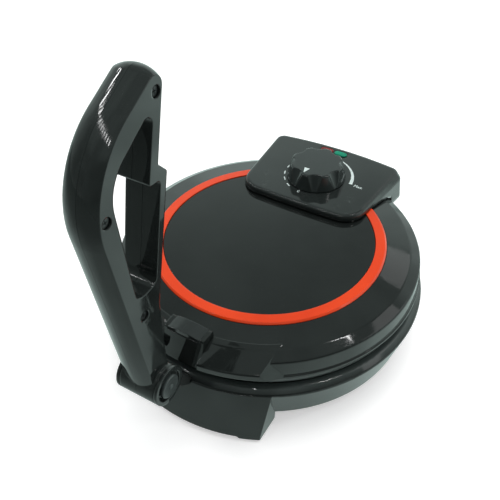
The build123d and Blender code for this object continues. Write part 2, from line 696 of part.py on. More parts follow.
with BuildPart() as lower_heat_shield:
    with BuildSketch(Plane.XZ):
        with BuildLine():
            shield_section(PILLAR_TOP_Z, PILLAR_TOP_Z + SHIELD_LIP)
        make_face()
    revolve(axis=Axis.Z)
    with BuildSketch():
        with boss_places():
            Circle(SCREW_R + SCREW_PLAY)
        with Locations((-terminal_x, terminal_y), (terminal_x, terminal_y)):
            Circle(ELEMENT_TUBE_R + SHIELD_TERMINAL_GAP)
    extrude(amount=TALL, mode=Mode.SUBTRACT)
lower_heat_shield.part.label = "lower_heat_shield"
export_step(lower_heat_shield.part, "parts/lower_heat_shield.step")

UPPER_SHIELD_TOP_Z = BOSS_HEAD_Z + SHIELD_THICKNESS

with BuildPart() as upper_heat_shield:
    with BuildSketch(Plane.XZ):
        with BuildLine():
            shield_section(UPPER_SHIELD_TOP_Z, UPPER_SHIELD_TOP_Z - SHIELD_LIP)
        make_face()
    revolve(axis=Axis.Z)
    with BuildSketch():
        with boss_places():
            Circle(SCREW_R + SCREW_PLAY)
        with Locations((-terminal_x, terminal_y), (terminal_x, terminal_y)):
            Circle(ELEMENT_TUBE_R + SHIELD_TERMINAL_GAP)
    extrude(amount=TALL, mode=Mode.SUBTRACT)
upper_heat_shield.part.label = "upper_heat_shield"
export_step(upper_heat_shield.part, "parts/upper_heat_shield.step")


# ================================================================ plate screws
with BuildPart() as lower_plate_screws:
    with BuildSketch(Plane.XY.offset(BASE_UNDER_Z - SCREW_HEAD_HEIGHT)):
        with boss_places():
            Circle(SCREW_HEAD_R)
    extrude(amount=SCREW_HEAD_HEIGHT)
    with BuildSketch(Plane.XY.offset(BASE_UNDER_Z)):
        with boss_places():
            Circle(SCREW_R)
    extrude(amount=BOSS_FOOT_Z + BOSS_R - BASE_UNDER_Z)
lower_plate_screws.part.label = "lower_plate_screws"
export_step(lower_plate_screws.part, "parts/lower_plate_screws.step")

with BuildPart() as upper_plate_screws:
    with BuildSketch(Plane.XY.offset(SEAT_Z - SCREW_HEAD_HEIGHT)):
        with boss_places():
            Circle(SCREW_HEAD_R)
    extrude(amount=SCREW_HEAD_HEIGHT)
    with BuildSketch(Plane.XY.offset(SEAT_Z - SCREW_HEAD_HEIGHT)):
        with boss_places():
            Circle(SCREW_R)
    extrude(amount=BOSS_HEAD_Z - BOSS_R - SEAT_Z + SCREW_HEAD_HEIGHT)
upper_plate_screws.part.label = "upper_plate_screws"
export_step(upper_plate_screws.part, "parts/upper_plate_screws.step")

# Screws that hold the bottom cover to the shell, and the arm's foot to the cover.
with BuildPart() as base_screws:
    with BuildSketch(Plane.XY.offset(BASE_UNDER_Z - SCREW_HEAD_HEIGHT)):
        with PolarLocations(COVER_SCREW_CIRCLE_R, COVER_SCREW_COUNT, start_angle=30):
            Circle(SCREW_HEAD_R)
    extrude(amount=SCREW_HEAD_HEIGHT)
    with BuildSketch(Plane.XY.offset(BASE_UNDER_Z)):
        with PolarLocations(COVER_SCREW_CIRCLE_R, COVER_SCREW_COUNT, start_angle=30):
            Circle(SCREW_R)
    extrude(amount=WALL + COVER_SCREW_LENGTH - 1)
base_screws.part.label = "base_screws"
export_step(base_screws.part, "parts/base_screws.step")

with BuildPart() as bracket_screws:
    with BuildSketch(Plane.XY.offset(BASE_UNDER_Z - SCREW_HEAD_HEIGHT)):
        with Locations(*[(0, y) for y in ARM_SCREW_YS]):
            Circle(SCREW_HEAD_R)
    extrude(amount=SCREW_HEAD_HEIGHT)
    with BuildSketch(Plane.XY.offset(BASE_UNDER_Z)):
        with Locations(*[(0, y) for y in ARM_SCREW_YS]):
            Circle(SCREW_R)
    extrude(amount=WALL + ARM_FOOT_HEIGHT)
bracket_screws.part.label = "bracket_screws"
export_step(bracket_screws.part, "parts/bracket_screws.step")


# ================================================================ terminal_block
TERMINAL_BLOCK_HALF_X = terminal_x + TERMINAL_BLOCK_END

with BuildPart() as terminal_block:
    with BuildSketch(Plane.XY.offset(COVER_TOP_Z)):
        with Locations((0, terminal_y)):
            RectangleRounded(2 * TERMINAL_BLOCK_HALF_X, TERMINAL_BLOCK_WIDTH, 2.0)
    extrude(amount=TERMINAL_TIP_Z - COVER_TOP_Z)
    with BuildSketch(Plane.XY.offset(TERMINAL_TIP_Z)):
        with Locations((0, terminal_y)):
            Rectangle(terminal_x, TERMINAL_BLOCK_WIDTH)
    extrude(amount=-TERMINAL_BLOCK_NOTCH, mode=Mode.SUBTRACT)
terminal_block.part.label = "terminal_block"
export_step(terminal_block.part, "parts/terminal_block.step")


# ================================================================ handle_bracket
# Arm that rises out of the front shoulder and carries the handle's pivot.
with BuildPart() as handle_bracket:
    with BuildSketch(Plane.YZ):
        with BuildLine():
            arm_outline()
        make_face()
        with Locations((PIVOT_Y, PIVOT_Z)):
            Circle(ARM_HEAD_R)
            Circle(PIVOT_PIN_R + PIN_RUNNING_GAP, mode=Mode.SUBTRACT)
    extrude(amount=ARM_HALF_WIDTH, both=True)
    with BuildSketch(Plane.XY.offset(COVER_TOP_Z)):
        with Locations(*[(0, y) for y in ARM_SCREW_YS]):
            Circle(SCREW_R)
    extrude(amount=ARM_FOOT_HEIGHT, mode=Mode.SUBTRACT)
handle_bracket.part.label = "handle_bracket"
export_step(handle_bracket.part, "parts/handle_bracket.step")


# ================================================================ hinge_bracket
# Two lugs on a cross bar, screwed to the back of the base, outside its wall.
LUG_INNER_X = KNUCKLE_HALF_WIDTH + HINGE_SIDE_GAP
LUG_OUTER_X = LUG_INNER_X + HINGE_LUG_WIDTH

with BuildPart() as hinge_bracket:
    with BuildSketch(Plane.YZ):
        with BuildLine():
            closed_outline(
                (BASE_FOOT_R - WALL, HINGE_BAR_Z, 0),
                (HINGE_BAR_REAR_Y, HINGE_BAR_Z, 2.0),
                (HINGE_BAR_REAR_Y, HINGE_BAR_Z + HINGE_BAR_HEIGHT, 0),
                (HINGE_Y + HINGE_KNUCKLE_R, HINGE_Z, 0),
                (HINGE_Y - HINGE_KNUCKLE_R, HINGE_Z, 0),
                (HINGE_Y - HINGE_KNUCKLE_R, HINGE_BAR_Z + HINGE_BAR_HEIGHT, 0),
                (BASE_FOOT_R - WALL, HINGE_BAR_Z + HINGE_BAR_HEIGHT, 0),
            )
        make_face()
        with Locations((HINGE_Y, HINGE_Z)):
            Circle(HINGE_KNUCKLE_R)
            Circle(HINGE_PIN_R, mode=Mode.SUBTRACT)
    extrude(amount=LUG_OUTER_X, both=True)
    with BuildSketch(Plane.YZ):
        with Locations((HINGE_Y, HINGE_Z)):
            Rectangle(TALL, 2 * (HINGE_Z - HINGE_BAR_Z - HINGE_BAR_HEIGHT))
    extrude(amount=LUG_INNER_X, both=True, mode=Mode.SUBTRACT)
    with BuildSketch(Plane.XZ):
        with BuildLine():
            closed_outline(
                (0, 0, 0),
                (base_wall_r(0), 0, 0),
                (base_wall_r(SHOULDER_Z), SHOULDER_Z, 2.5),
                (LID_R, BASE_TOP_Z - 1, 4.0),
                (WELL_R, BASE_TOP_Z, 0),
                (0, BASE_TOP_Z, 0),
            )
        make_face()
    revolve(axis=Axis.Z, mode=Mode.SUBTRACT)
    with BuildSketch(Plane.XZ):
        with Locations((-HINGE_SCREW_X, HINGE_SCREW_Z), (HINGE_SCREW_X, HINGE_SCREW_Z)):
            Circle(SCREW_R + SCREW_PLAY)
    extrude(amount=-TALL, mode=Mode.SUBTRACT)
hinge_bracket.part.label = "hinge_bracket"
export_step(hinge_bracket.part, "parts/hinge_bracket.step")

with BuildPart() as hinge_pin:
    with BuildSketch(Plane.YZ):
        with Locations((HINGE_Y, HINGE_Z)):
            Circle(HINGE_PIN_R)
    extrude(amount=LUG_OUTER_X + HINGE_PIN_HEAD / 2, both=True)
    with BuildSketch(Plane.YZ.offset(LUG_OUTER_X)):
        with Locations((HINGE_Y, HINGE_Z)):
            Circle(HINGE_PIN_R + HINGE_PIN_HEAD)
    extrude(amount=HINGE_PIN_HEAD)
hinge_pin.part.label = "hinge_pin"
export_step(hinge_pin.part, "parts/hinge_pin.step")

with BuildPart() as hinge_screws:
    with BuildSketch(Plane.XZ.offset(-HINGE_BAR_REAR_Y)):
        with Locations((-HINGE_SCREW_X, HINGE_SCREW_Z), (HINGE_SCREW_X, HINGE_SCREW_Z)):
            Circle(SCREW_HEAD_R)
    extrude(amount=-SCREW_HEAD_HEIGHT)
    with BuildSketch(Plane.XZ.offset(-HINGE_BAR_REAR_Y)):
        with Locations((-HINGE_SCREW_X, HINGE_SCREW_Z), (HINGE_SCREW_X, HINGE_SCREW_Z)):
            Circle(SCREW_R)
    extrude(amount=HINGE_BAR_REAR_Y - BASE_FOOT_R + WALL)
hinge_screws.part.label = "hinge_screws"
export_step(hinge_screws.part, "parts/hinge_screws.step")


# ================================================================ lid_shell
# Moulded lid with the recessed band, the overhanging lip, the chamfer and the
# seat for the trim ring, the front tab with its notch, and the hinge knuckle.
TAB_REACH = TAB_FRONT_R + 10.0
TAB_CORNER_Y = -sqrt(TAB_REAR_R**2 - TAB_HALF_WIDTH**2)
TAB_REAR_HALF = TAB_HALF_WIDTH - TAB_CORNER_Y * tan(radians(TAB_SIDE_TURN))
TAB_FRONT_HALF = TAB_REAR_HALF - TAB_REACH * tan(radians(TAB_SIDE_TURN))

with BuildPart() as tab_hollow:
    with BuildSketch(Plane.XZ):
        with BuildLine():
            closed_outline(
                (LID_R, LID_SIDE_FOOT_Z - 5, 0),
                (LID_R, TAB_FRONT_Z + 0.5, 0),
                (TAB_FRONT_R - TAB_WALL, TAB_FRONT_Z - TAB_WALL + 1, 0),
                (TAB_FRONT_R - TAB_WALL, LID_SIDE_FOOT_Z - 5, 0),
            )
        make_face()
    revolve(axis=Axis.Z)
    with BuildSketch():
        with Locations((0, -TAB_FRONT_R)):
            Rectangle(2 * (TAB_HALF_WIDTH - TAB_SIDE_WALL), TAB_FRONT_R)
    extrude(amount=TALL, mode=Mode.INTERSECT)

with BuildPart() as tab_form:
    with BuildSketch(Plane.XZ):
        with BuildLine():
            closed_outline(
                (TAB_REAR_R, TAB_REAR_Z - WALL, 0),
                (TAB_REAR_R, TAB_REAR_Z, 0),
                (TAB_FRONT_R - TAB_CHAMFER, TAB_FRONT_Z + TAB_CHAMFER / 3, 0),
                (TAB_FRONT_R, TAB_FRONT_Z - TAB_CHAMFER, 0),
                (TAB_FRONT_R, TAB_FRONT_Z - TAB_LIP + TAB_CHAMFER, 0),
                (TAB_FRONT_R - TAB_CHAMFER, TAB_FRONT_Z - TAB_LIP, 0),
                (LID_LIP_R, LID_SIDE_FOOT_Z, 0),
                (LID_R - WALL / 2, LID_SIDE_FOOT_Z, 0),
                (LID_R - WALL / 2, LID_CHAMFER_Z - 1, 0),
            )
        make_face()
    revolve(axis=Axis.Z)
    with BuildSketch(Plane.XY.offset(TAB_REAR_Z)):
        with BuildLine():
            closed_outline(
                (-TAB_REAR_HALF, 0, 0),
                (-TAB_FRONT_HALF, -TAB_REACH, 0),
                (TAB_FRONT_HALF, -TAB_REACH, 0),
                (TAB_REAR_HALF, 0, 0),
            )
        make_face()
    extrude(amount=BASE_TOP_Z - TAB_REAR_Z, taper=-TAB_SIDE_DRAFT, mode=Mode.INTERSECT)
    add(tab_hollow.part, mode=Mode.SUBTRACT)

with BuildPart() as block_notch:
    with BuildSketch(Plane.XZ):
        with BuildLine():
            closed_outline(
                (BLOCK_REAR_R - FIT_GAP, BLOCK_FOOT_Z - FIT_GAP, 0),
                (TAB_FRONT_R + 5, BLOCK_FOOT_Z - FIT_GAP, 0),
                (TAB_FRONT_R + 5, BLOCK_TOP_Z, 0),
                (BLOCK_REAR_R - FIT_GAP, BLOCK_TOP_Z, 0),
            )
        make_face()
    revolve(axis=Axis.Z)
    with BuildSketch():
        with Locations((0, -TAB_FRONT_R)):
            Rectangle(2 * (BLOCK_HALF_WIDTH + FIT_GAP), TAB_FRONT_R)
    extrude(amount=TALL, mode=Mode.INTERSECT)

with BuildPart() as lid_shell:
    with BuildSketch(Plane.XZ):
        with BuildLine():
            closed_outline(
                (WELL_R, LID_UNDER_Z, 1.0),
                (LID_SKIRT_R, LID_UNDER_Z, 1.0),
                (LID_SKIRT_R, LID_SIDE_FOOT_Z - 2, 0),
                (LID_LIP_R, LID_SIDE_FOOT_Z - 0.8, 0),
                (LID_LIP_R, LID_SIDE_FOOT_Z + 1.2, 0),
                (LID_R, LID_SIDE_FOOT_Z + 2.6, 0),
                (LID_R - 0.5, LID_CHAMFER_Z, 2.5),
                (LID_CHAMFER_R, LID_CHAMFER_TOP_Z, 5.0),
                (RING_R + RING_BEVEL + FIT_GAP, LID_SLOPE_TOP_Z, 0),
                (RING_R + RING_BEVEL + FIT_GAP, SEAT_Z, 0),
                (0, SEAT_Z, 0),
                (0, LID_CEILING_Z, 0),
                (RING_R + 7, LID_CEILING_Z, 8.0),
                (LID_CHAMFER_R - 1, LID_CHAMFER_TOP_Z - WALL - 0.2, 4.0),
                (LID_R - WALL - 0.5, LID_CHAMFER_Z - 1.6, 2.0),
                (LID_R - WALL, LID_SIDE_FOOT_Z + 2, 0),
                (LID_SKIRT_R - WALL, LID_SIDE_FOOT_Z - 0.5, 0),
                (LID_SKIRT_R - WALL, LID_UNDER_Z + WALL, 0),
                (WELL_R + WALL, LID_UNDER_Z + WALL, 0),
                (WELL_R + WALL, LID_UNDER_Z + WELL_DEPTH, 0),
                (WELL_R, LID_UNDER_Z + WELL_DEPTH, 0),
            )
        make_face()
    revolve(axis=Axis.Z)
    add(tab_form.part)
    add(block_notch.part, mode=Mode.SUBTRACT)
    # pillars that carry the heat shield and the upper plate
    with BuildSketch(Plane.XY.offset(UPPER_SHIELD_TOP_Z)):
        with boss_places():
            Circle(BOSS_R)
    extrude(amount=LID_CEILING_Z + WALL / 2 - UPPER_SHIELD_TOP_Z)
    # hinge knuckle
    with BuildSketch(Plane.YZ):
        with Locations((HINGE_Y, HINGE_Z)):
            Circle(HINGE_KNUCKLE_R)
        with BuildLine():
            closed_outline(
                (LID_SKIRT_R - WALL / 2 - 1, LID_UNDER_Z + 0.5, 0),
                (HINGE_Y, HINGE_Z - HINGE_KNUCKLE_R, 0),
                (HINGE_Y, HINGE_Z + HINGE_KNUCKLE_R, 0),
                (LID_SKIRT_R - WALL / 2 - 1, HINGE_Z + HINGE_KNUCKLE_R, 0),
            )
        make_face()
    extrude(amount=KNUCKLE_HALF_WIDTH, both=True)
    with BuildSketch(Plane.YZ):
        with Locations((HINGE_Y, HINGE_Z)):
            Circle(HINGE_PIN_R + PIN_RUNNING_GAP)
    extrude(amount=TALL, both=True, mode=Mode.SUBTRACT)
    # screw holes and the opening for the thermostat
    with BuildSketch(Plane.XY.offset(UPPER_SHIELD_TOP_Z)):
        with boss_places():
            Circle(SCREW_R + SCREW_PLAY)
        with Locations(*BOX_SCREW_XY):
            Circle(SCREW_R + SCREW_PLAY)
        with Locations((0, KNOB_Y)):
            Circle(THERMOSTAT_HOLE_R)
    extrude(amount=TALL, mode=Mode.SUBTRACT)
    with BuildSketch(Plane.XY.offset(SEAT_Z)):
        with boss_places():
            Circle(SCREW_HEAD_R + SCREW_PLAY)
    extrude(amount=-SCREW_HEAD_HEIGHT, mode=Mode.SUBTRACT)
    with BuildSketch(Plane.XY.offset(LID_UNDER_Z)):
        with Locations(*BLOCK_POST_XY):
            Circle(SCREW_R + SCREW_PLAY)
    extrude(amount=2 * WALL, mode=Mode.SUBTRACT)
lid_shell.part.label = "lid_shell"
export_step(lid_shell.part, "parts/lid_shell.step")


# ================================================================ press_block
# Saddle on the lid's front edge that takes the pressure of the handle.
BLOCK_SEAT_Z = BLOCK_TOP_Z - PAD_SEAT_DEPTH
PAD_HALF_WIDTH = BLOCK_HALF_WIDTH - BLOCK_LIP_WIDTH - FIT_GAP

with BuildPart() as block_hollow:
    with BuildSketch(Plane.XZ):
        with BuildLine():
            closed_outline(
                (BLOCK_REAR_R + BLOCK_WALL, BLOCK_FOOT_Z, 0),
                (BLOCK_FOOT_R - BLOCK_WALL, BLOCK_FOOT_Z, 0),
                (BLOCK_FRONT_R - BLOCK_WALL + 1, BLOCK_SEAT_Z - BLOCK_WALL, 0),
                (BLOCK_REAR_R + BLOCK_WALL, BLOCK_SEAT_Z - BLOCK_WALL, 0),
            )
        make_face()
    revolve(axis=Axis.Z)
    with BuildSketch():
        with Locations((0, -BLOCK_FRONT_R)):
            Rectangle(2 * (BLOCK_HALF_WIDTH - BLOCK_LIP_WIDTH), BLOCK_FRONT_R)
            Rectangle(BLOCK_WALL, BLOCK_FRONT_R, mode=Mode.SUBTRACT)
    extrude(amount=TALL, mode=Mode.INTERSECT)

with BuildPart() as press_block:
    with BuildSketch(Plane.XZ):
        with BuildLine():
            closed_outline(
                (BLOCK_REAR_R, BLOCK_FOOT_Z, 0),
                (BLOCK_FOOT_R, BLOCK_FOOT_Z, 1.0),
                (BLOCK_FRONT_R, BLOCK_TOP_Z, 2.0),
                (BLOCK_REAR_R, BLOCK_TOP_Z, 2.0),
            )
        make_face()
    revolve(axis=Axis.Z)
    with BuildSketch():
        with Locations((0, -BLOCK_FRONT_R)):
            Rectangle(2 * BLOCK_HALF_WIDTH, BLOCK_FRONT_R)
    extrude(amount=TALL, mode=Mode.INTERSECT)
    with BuildSketch(Plane.XY.offset(BLOCK_SEAT_Z)):
        with Locations((0, -BLOCK_FRONT_R)):
            Rectangle(2 * (BLOCK_HALF_WIDTH - BLOCK_LIP_WIDTH), BLOCK_FRONT_R)
    extrude(amount=TALL, mode=Mode.SUBTRACT)
    add(block_hollow.part, mode=Mode.SUBTRACT)
    with BuildSketch(Plane.XY.offset(LID_UNDER_Z + WALL)):
        with Locations(*BLOCK_POST_XY):
            Circle(COVER_POST_R)
    extrude(amount=BLOCK_SEAT_Z - BLOCK_WALL / 2 - LID_UNDER_Z - WALL)
    with BuildSketch(Plane.XY.offset(LID_UNDER_Z + WALL)):
        with Locations(*BLOCK_POST_XY):
            Circle(SCREW_R)
    extrude(amount=COVER_SCREW_LENGTH, mode=Mode.SUBTRACT)
press_block.part.label = "press_block"
export_step(press_block.part, "parts/press_block.step")

with BuildPart() as press_block_screws:
    with BuildSketch(Plane.XY.offset(LID_UNDER_Z - SCREW_HEAD_HEIGHT)):
        with Locations(*BLOCK_POST_XY):
            Circle(SCREW_HEAD_R)
    extrude(amount=SCREW_HEAD_HEIGHT)
    with BuildSketch(Plane.XY.offset(LID_UNDER_Z)):
        with Locations(*BLOCK_POST_XY):
            Circle(SCREW_R)
    extrude(amount=COVER_SCREW_LENGTH)
press_block_screws.part.label = "press_block_screws"
export_step(press_block_screws.part, "parts/press_block_screws.step")

# Soft rolled pad in the saddle, its crown along the press direction.
PAD_CROWN_Z = BLOCK_TOP_Z + PAD_RISE

with BuildPart() as press_pad:
    with BuildSketch(Plane.XZ):
        with BuildLine():
            ThreePointArc((-PAD_HALF_WIDTH, BLOCK_TOP_Z), (0, PAD_CROWN_Z), (PAD_HALF_WIDTH, BLOCK_TOP_Z))
            Polyline(
                (PAD_HALF_WIDTH, BLOCK_TOP_Z),
                (PAD_HALF_WIDTH, BLOCK_SEAT_Z),
                (-PAD_HALF_WIDTH, BLOCK_SEAT_Z),
                (-PAD_HALF_WIDTH, BLOCK_TOP_Z),
            )
        make_face()
    extrude(amount=TALL)
    with BuildSketch(Plane.XY):
        Circle(BLOCK_FRONT_R)
        Circle(BLOCK_REAR_R, mode=Mode.SUBTRACT)
    extrude(amount=TALL, mode=Mode.INTERSECT)
press_pad.part.label = "press_pad"
export_step(press_pad.part, "parts/press_pad.step")


# ================================================================ trim_ring
with BuildPart() as trim_ring:
    with BuildSketch(Plane.XZ):
        with BuildLine():
            closed_outline(
                (RING_INNER_R, SEAT_Z, 0),
                (RING_R + RING_BEVEL, SEAT_Z, 0),
                (RING_R + RING_BEVEL, RING_TOP_Z - RING_BEVEL, 0),
                (RING_R, RING_TOP_Z, 0),
                (RING_INNER_R, RING_TOP_Z, 0),
            )
        make_face()
    revolve(axis=Axis.Z)
    with BuildSketch():
        with Locations((0, KNOB_Y)):
            Circle(THERMOSTAT_NECK_HOLE_R)
    extrude(amount=TALL, mode=Mode.SUBTRACT)
trim_ring.part.label = "trim_ring"
export_step(trim_ring.part, "parts/trim_ring.step")


# ================================================================ lid_centre_panel
with BuildPart() as lid_centre_panel:
    with BuildSketch(Plane.XZ):
        with BuildLine():
            closed_outline(
                (0, SEAT_Z, 0),
                (RING_INNER_R - FIT_GAP, SEAT_Z, 0),
                (RING_INNER_R - FIT_GAP, PANEL_TOP_Z - PANEL_CHAMFER, 0),
                (RING_INNER_R - FIT_GAP - PANEL_CHAMFER, PANEL_TOP_Z, 0),
                (0, PANEL_TOP_Z, 0),
            )
        make_face()
    revolve(axis=Axis.Z)
    with BuildSketch():
        with Locations((0, KNOB_Y)):
            Circle(THERMOSTAT_HOLE_R)
        with Locations(*BOX_SCREW_XY):
            Circle(BOX_POST_R + FIT_GAP)
    extrude(amount=TALL, mode=Mode.SUBTRACT)
lid_centre_panel.part.label = "lid_centre_panel"
export_step(lid_centre_panel.part, "parts/lid_centre_panel.step")


# ================================================================ control_cover_top
# The housing's shell: top, flared walls down to the lid, and the skirt behind it.
with BuildPart() as shell_inside:
    with BuildSketch(Plane.XY.offset(BOX_TOP_Z - BOX_WALL)) as inner_top_plan:
        with BuildLine():
            control_outline(-BOX_WALL, -BOX_WALL)
        make_face()
        round_corners(inner_top_plan)
    with BuildSketch(Plane.XY.offset(BOX_WAIST_Z)) as inner_waist_plan:
        with BuildLine():
            control_outline(BOX_FLARE - BOX_WALL, BOX_REAR_FLARE - BOX_WALL)
        make_face()
        round_corners(inner_waist_plan)
    loft()
    with BuildSketch(Plane.XY.offset(BOX_WAIST_Z)) as inner_wall_plan:
        with BuildLine():
            control_outline(BOX_FLARE - BOX_WALL, BOX_REAR_FLARE - BOX_WALL)
        make_face()
        round_corners(inner_wall_plan)
    with BuildSketch(Plane.XY.offset(BOX_SKIRT_Z)) as inner_skirt_plan:
        with BuildLine():
            control_outline(BOX_SKIRT_FLARE - BOX_WALL, BOX_SKIRT_REAR_FLARE - BOX_WALL)
        make_face()
        round_corners(inner_skirt_plan)
    loft()

with BuildPart() as control_cover_top:
    with BuildSketch(Plane.XY.offset(BOX_TOP_Z)) as top_plan:
        with BuildLine():
            control_outline(0, 0)
        make_face()
        round_corners(top_plan)
    with BuildSketch(Plane.XY.offset(BOX_WAIST_Z)) as waist_plan:
        with BuildLine():
            control_outline(BOX_FLARE, BOX_REAR_FLARE)
        make_face()
        round_corners(waist_plan)
    loft()
    fillet(control_cover_top.faces().sort_by(Axis.Z)[-1].edges(), radius=BOX_EDGE_R)
    with BuildSketch(Plane.XY.offset(BOX_WAIST_Z)) as wall_plan:
        with BuildLine():
            control_outline(BOX_FLARE, BOX_REAR_FLARE)
        make_face()
        round_corners(wall_plan)
    with BuildSketch(Plane.XY.offset(BOX_SKIRT_Z)) as skirt_plan:
        with BuildLine():
            control_outline(BOX_SKIRT_FLARE, BOX_SKIRT_REAR_FLARE)
        make_face()
        round_corners(skirt_plan)
    loft()
    add(shell_inside.part, mode=Mode.SUBTRACT)
    with BuildSketch(Plane.XZ):
        with BuildLine():
            lid_envelope(0)
        make_face()
    revolve(axis=Axis.Z, mode=Mode.SUBTRACT)
    with BuildSketch(Plane.XY.offset(BOX_TOP_Z - BOX_WALL / 2)):
        with Locations(*BOX_SCREW_XY):
            Circle(BOX_POST_R)
    extrude(amount=BOX_UNDER_Z + WALL - BOX_TOP_Z + BOX_WALL / 2)
    with BuildSketch(Plane.XY.offset(BOX_UNDER_Z + WALL)):
        with Locations(*BOX_SCREW_XY):
            Circle(SCREW_R)
    extrude(amount=BOX_SCREW_DEPTH, mode=Mode.SUBTRACT)
    with BuildSketch(Plane.XY.offset(BOX_WAIST_Z)):
        with Locations((0, KNOB_Y)):
            Circle(NECK_R + FIT_GAP)
        with Locations((LAMP_MID_X - LAMP_X, LAMP_Y), (LAMP_MID_X + LAMP_X, LAMP_Y)):
            RectangleRounded(LAMP_LENGTH + 2 * FIT_GAP, LAMP_WIDTH + 2 * FIT_GAP, LAMP_CORNER_R)
    extrude(amount=TALL, mode=Mode.SUBTRACT)
    # hole and flat spot for the cord gland
    with BuildSketch(Plane.XZ):
        with Locations((GLAND_X, GLAND_Z)):
            Circle(GLAND_R)
    extrude(amount=-TALL, mode=Mode.SUBTRACT)
    with BuildSketch(Plane.XZ.offset(-GLAND_WALL_Y)):
        with Locations((GLAND_X, GLAND_Z)):
            Circle(GLAND_R + 2)
    extrude(amount=-TALL, mode=Mode.SUBTRACT)
control_cover_top.part.label = "control_cover_top"
export_step(control_cover_top.part, "parts/control_cover_top.step")


# ================================================================ control_cover_bottom
# Floor of the housing.  It bridges the lid, drops behind it and closes the skirt.
FLOOR_GROW = -BOX_WALL - FIT_GAP
SKIRT_FLOOR_GROW = BOX_SKIRT_FLARE - BOX_WALL - 2 * FIT_GAP
SKIRT_FLOOR_REAR_GROW = BOX_SKIRT_REAR_FLARE - BOX_WALL - 3 * FIT_GAP

with BuildPart() as above_floor:
    with BuildSketch(Plane.XY.offset(BOX_SKIRT_Z + WALL)):
        with Locations((0, BOX_REAR_Y)):
            Rectangle(3 * BOX_REAR_HALF_WIDTH, 3 * BOX_REAR_HALF_WIDTH)
    extrude(amount=TALL)
    with BuildSketch(Plane.XZ):
        with BuildLine():
            lid_envelope(WALL)
        make_face()
    revolve(axis=Axis.Z, mode=Mode.SUBTRACT)

with BuildPart() as control_cover_bottom:
    with BuildSketch(Plane.XY.offset(BOX_SKIRT_Z)) as skirt_floor_plan:
        with BuildLine():
            control_outline(SKIRT_FLOOR_GROW, SKIRT_FLOOR_REAR_GROW)
        make_face()
        round_corners(skirt_floor_plan)
    extrude(amount=WALL)
    with BuildSketch(Plane.XY.offset(BOX_SKIRT_Z)) as floor_plan:
        with BuildLine():
            control_outline(FLOOR_GROW, FLOOR_GROW)
        make_face()
        round_corners(floor_plan)
    extrude(amount=BOX_UNDER_Z + WALL - BOX_SKIRT_Z)
    with BuildSketch(Plane.XZ):
        with BuildLine():
            lid_envelope(0)
        make_face()
    revolve(axis=Axis.Z, mode=Mode.SUBTRACT)
    add(above_floor.part, mode=Mode.SUBTRACT)
    # legs that stand on the lid's seat
    with BuildSketch(Plane.XY.offset(SEAT_Z)):
        with Locations(*BOX_SCREW_XY):
            Circle(BOX_POST_R)
    extrude(amount=BOX_UNDER_Z + WALL - SEAT_Z)
    with BuildSketch(Plane.XY.offset(SEAT_Z)):
        with Locations(*BOX_SCREW_XY):
            Circle(SCREW_R + SCREW_PLAY)
        with Locations((0, KNOB_Y)):
            Circle(THERMOSTAT_HOLE_R)
    extrude(amount=TALL, mode=Mode.SUBTRACT)
control_cover_bottom.part.label = "control_cover_bottom"
export_step(control_cover_bottom.part, "parts/control_cover_bottom.step")

with BuildPart() as control_screws:
    with BuildSketch(Plane.XY.offset(LID_CEILING_Z - SCREW_HEAD_HEIGHT)):
        with Locations(*BOX_SCREW_XY):
            Circle(SCREW_HEAD_R)
    extrude(amount=SCREW_HEAD_HEIGHT)
    with BuildSketch(Plane.XY.offset(LID_CEILING_Z)):
        with Locations(*BOX_SCREW_XY):
            Circle(SCREW_R)
    extrude(amount=BOX_UNDER_Z + WALL + BOX_SCREW_DEPTH - LID_CEILING_Z)
control_screws.part.label = "control_screws"
export_step(control_screws.part, "parts/control_screws.step")


# ================================================================ cord_gland
with BuildPart() as cord_gland:
    with BuildSketch(Plane.XZ.offset(-GLAND_WALL_Y)):
        with Locations((GLAND_X, GLAND_Z)):
            Circle(GLAND_R + GLAND_FLANGE)
    extrude(amount=-GLAND_FLANGE_DEPTH)
    with BuildSketch(Plane.XZ.offset(-GLAND_WALL_Y)):
        with Locations((GLAND_X, GLAND_Z)):
            Circle(GLAND_R)
    extrude(amount=GLAND_DEPTH)
    with BuildSketch(Plane.XZ):
        with Locations((GLAND_X, GLAND_Z)):
            Circle(GLAND_BORE_R)
    extrude(amount=-TALL, mode=Mode.SUBTRACT)
cord_gland.part.label = "cord_gland"
export_step(cord_gland.part, "parts/cord_gland.step")


# ================================================================ thermostat
SPINDLE_FOOT_Z = BOX_TOP_Z - 8.0

with BuildPart() as thermostat:
    with BuildSketch(Plane.XY.offset(THERMOSTAT_Z)):
        with Locations((0, KNOB_Y)):
            Circle(THERMOSTAT_R)
    extrude(amount=THERMOSTAT_TOP_Z - THERMOSTAT_Z)
    with BuildSketch(Plane.XY.offset(THERMOSTAT_TOP_Z)):
        with Locations((0, KNOB_Y)):
            Circle(THERMOSTAT_NECK_R)
    extrude(amount=BOX_TOP_Z - BOX_WALL - THERMOSTAT_TOP_Z)
    with BuildSketch(Plane.XY.offset(THERMOSTAT_TOP_Z)):
        with Locations((0, KNOB_Y)):
            Circle(NECK_R)
    extrude(amount=BOX_TOP_Z + NUT_HEIGHT - THERMOSTAT_TOP_Z)
    with BuildSketch(Plane.XY.offset(SPINDLE_FOOT_Z)):
        with Locations((0, KNOB_Y)):
            Circle(SPINDLE_R + PIN_RUNNING_GAP)
    extrude(amount=TALL, mode=Mode.SUBTRACT)
thermostat.part.label = "thermostat"
export_step(thermostat.part, "parts/thermostat.step")

with BuildPart() as thermostat_nut:
    with BuildSketch(Plane.XY.offset(BOX_TOP_Z)):
        with Locations((0, KNOB_Y)):
            RegularPolygon(NUT_R, 6)
            Circle(NECK_R, mode=Mode.SUBTRACT)
    extrude(amount=NUT_HEIGHT)
thermostat_nut.part.label = "thermostat_nut"
export_step(thermostat_nut.part, "parts/thermostat_nut.step")


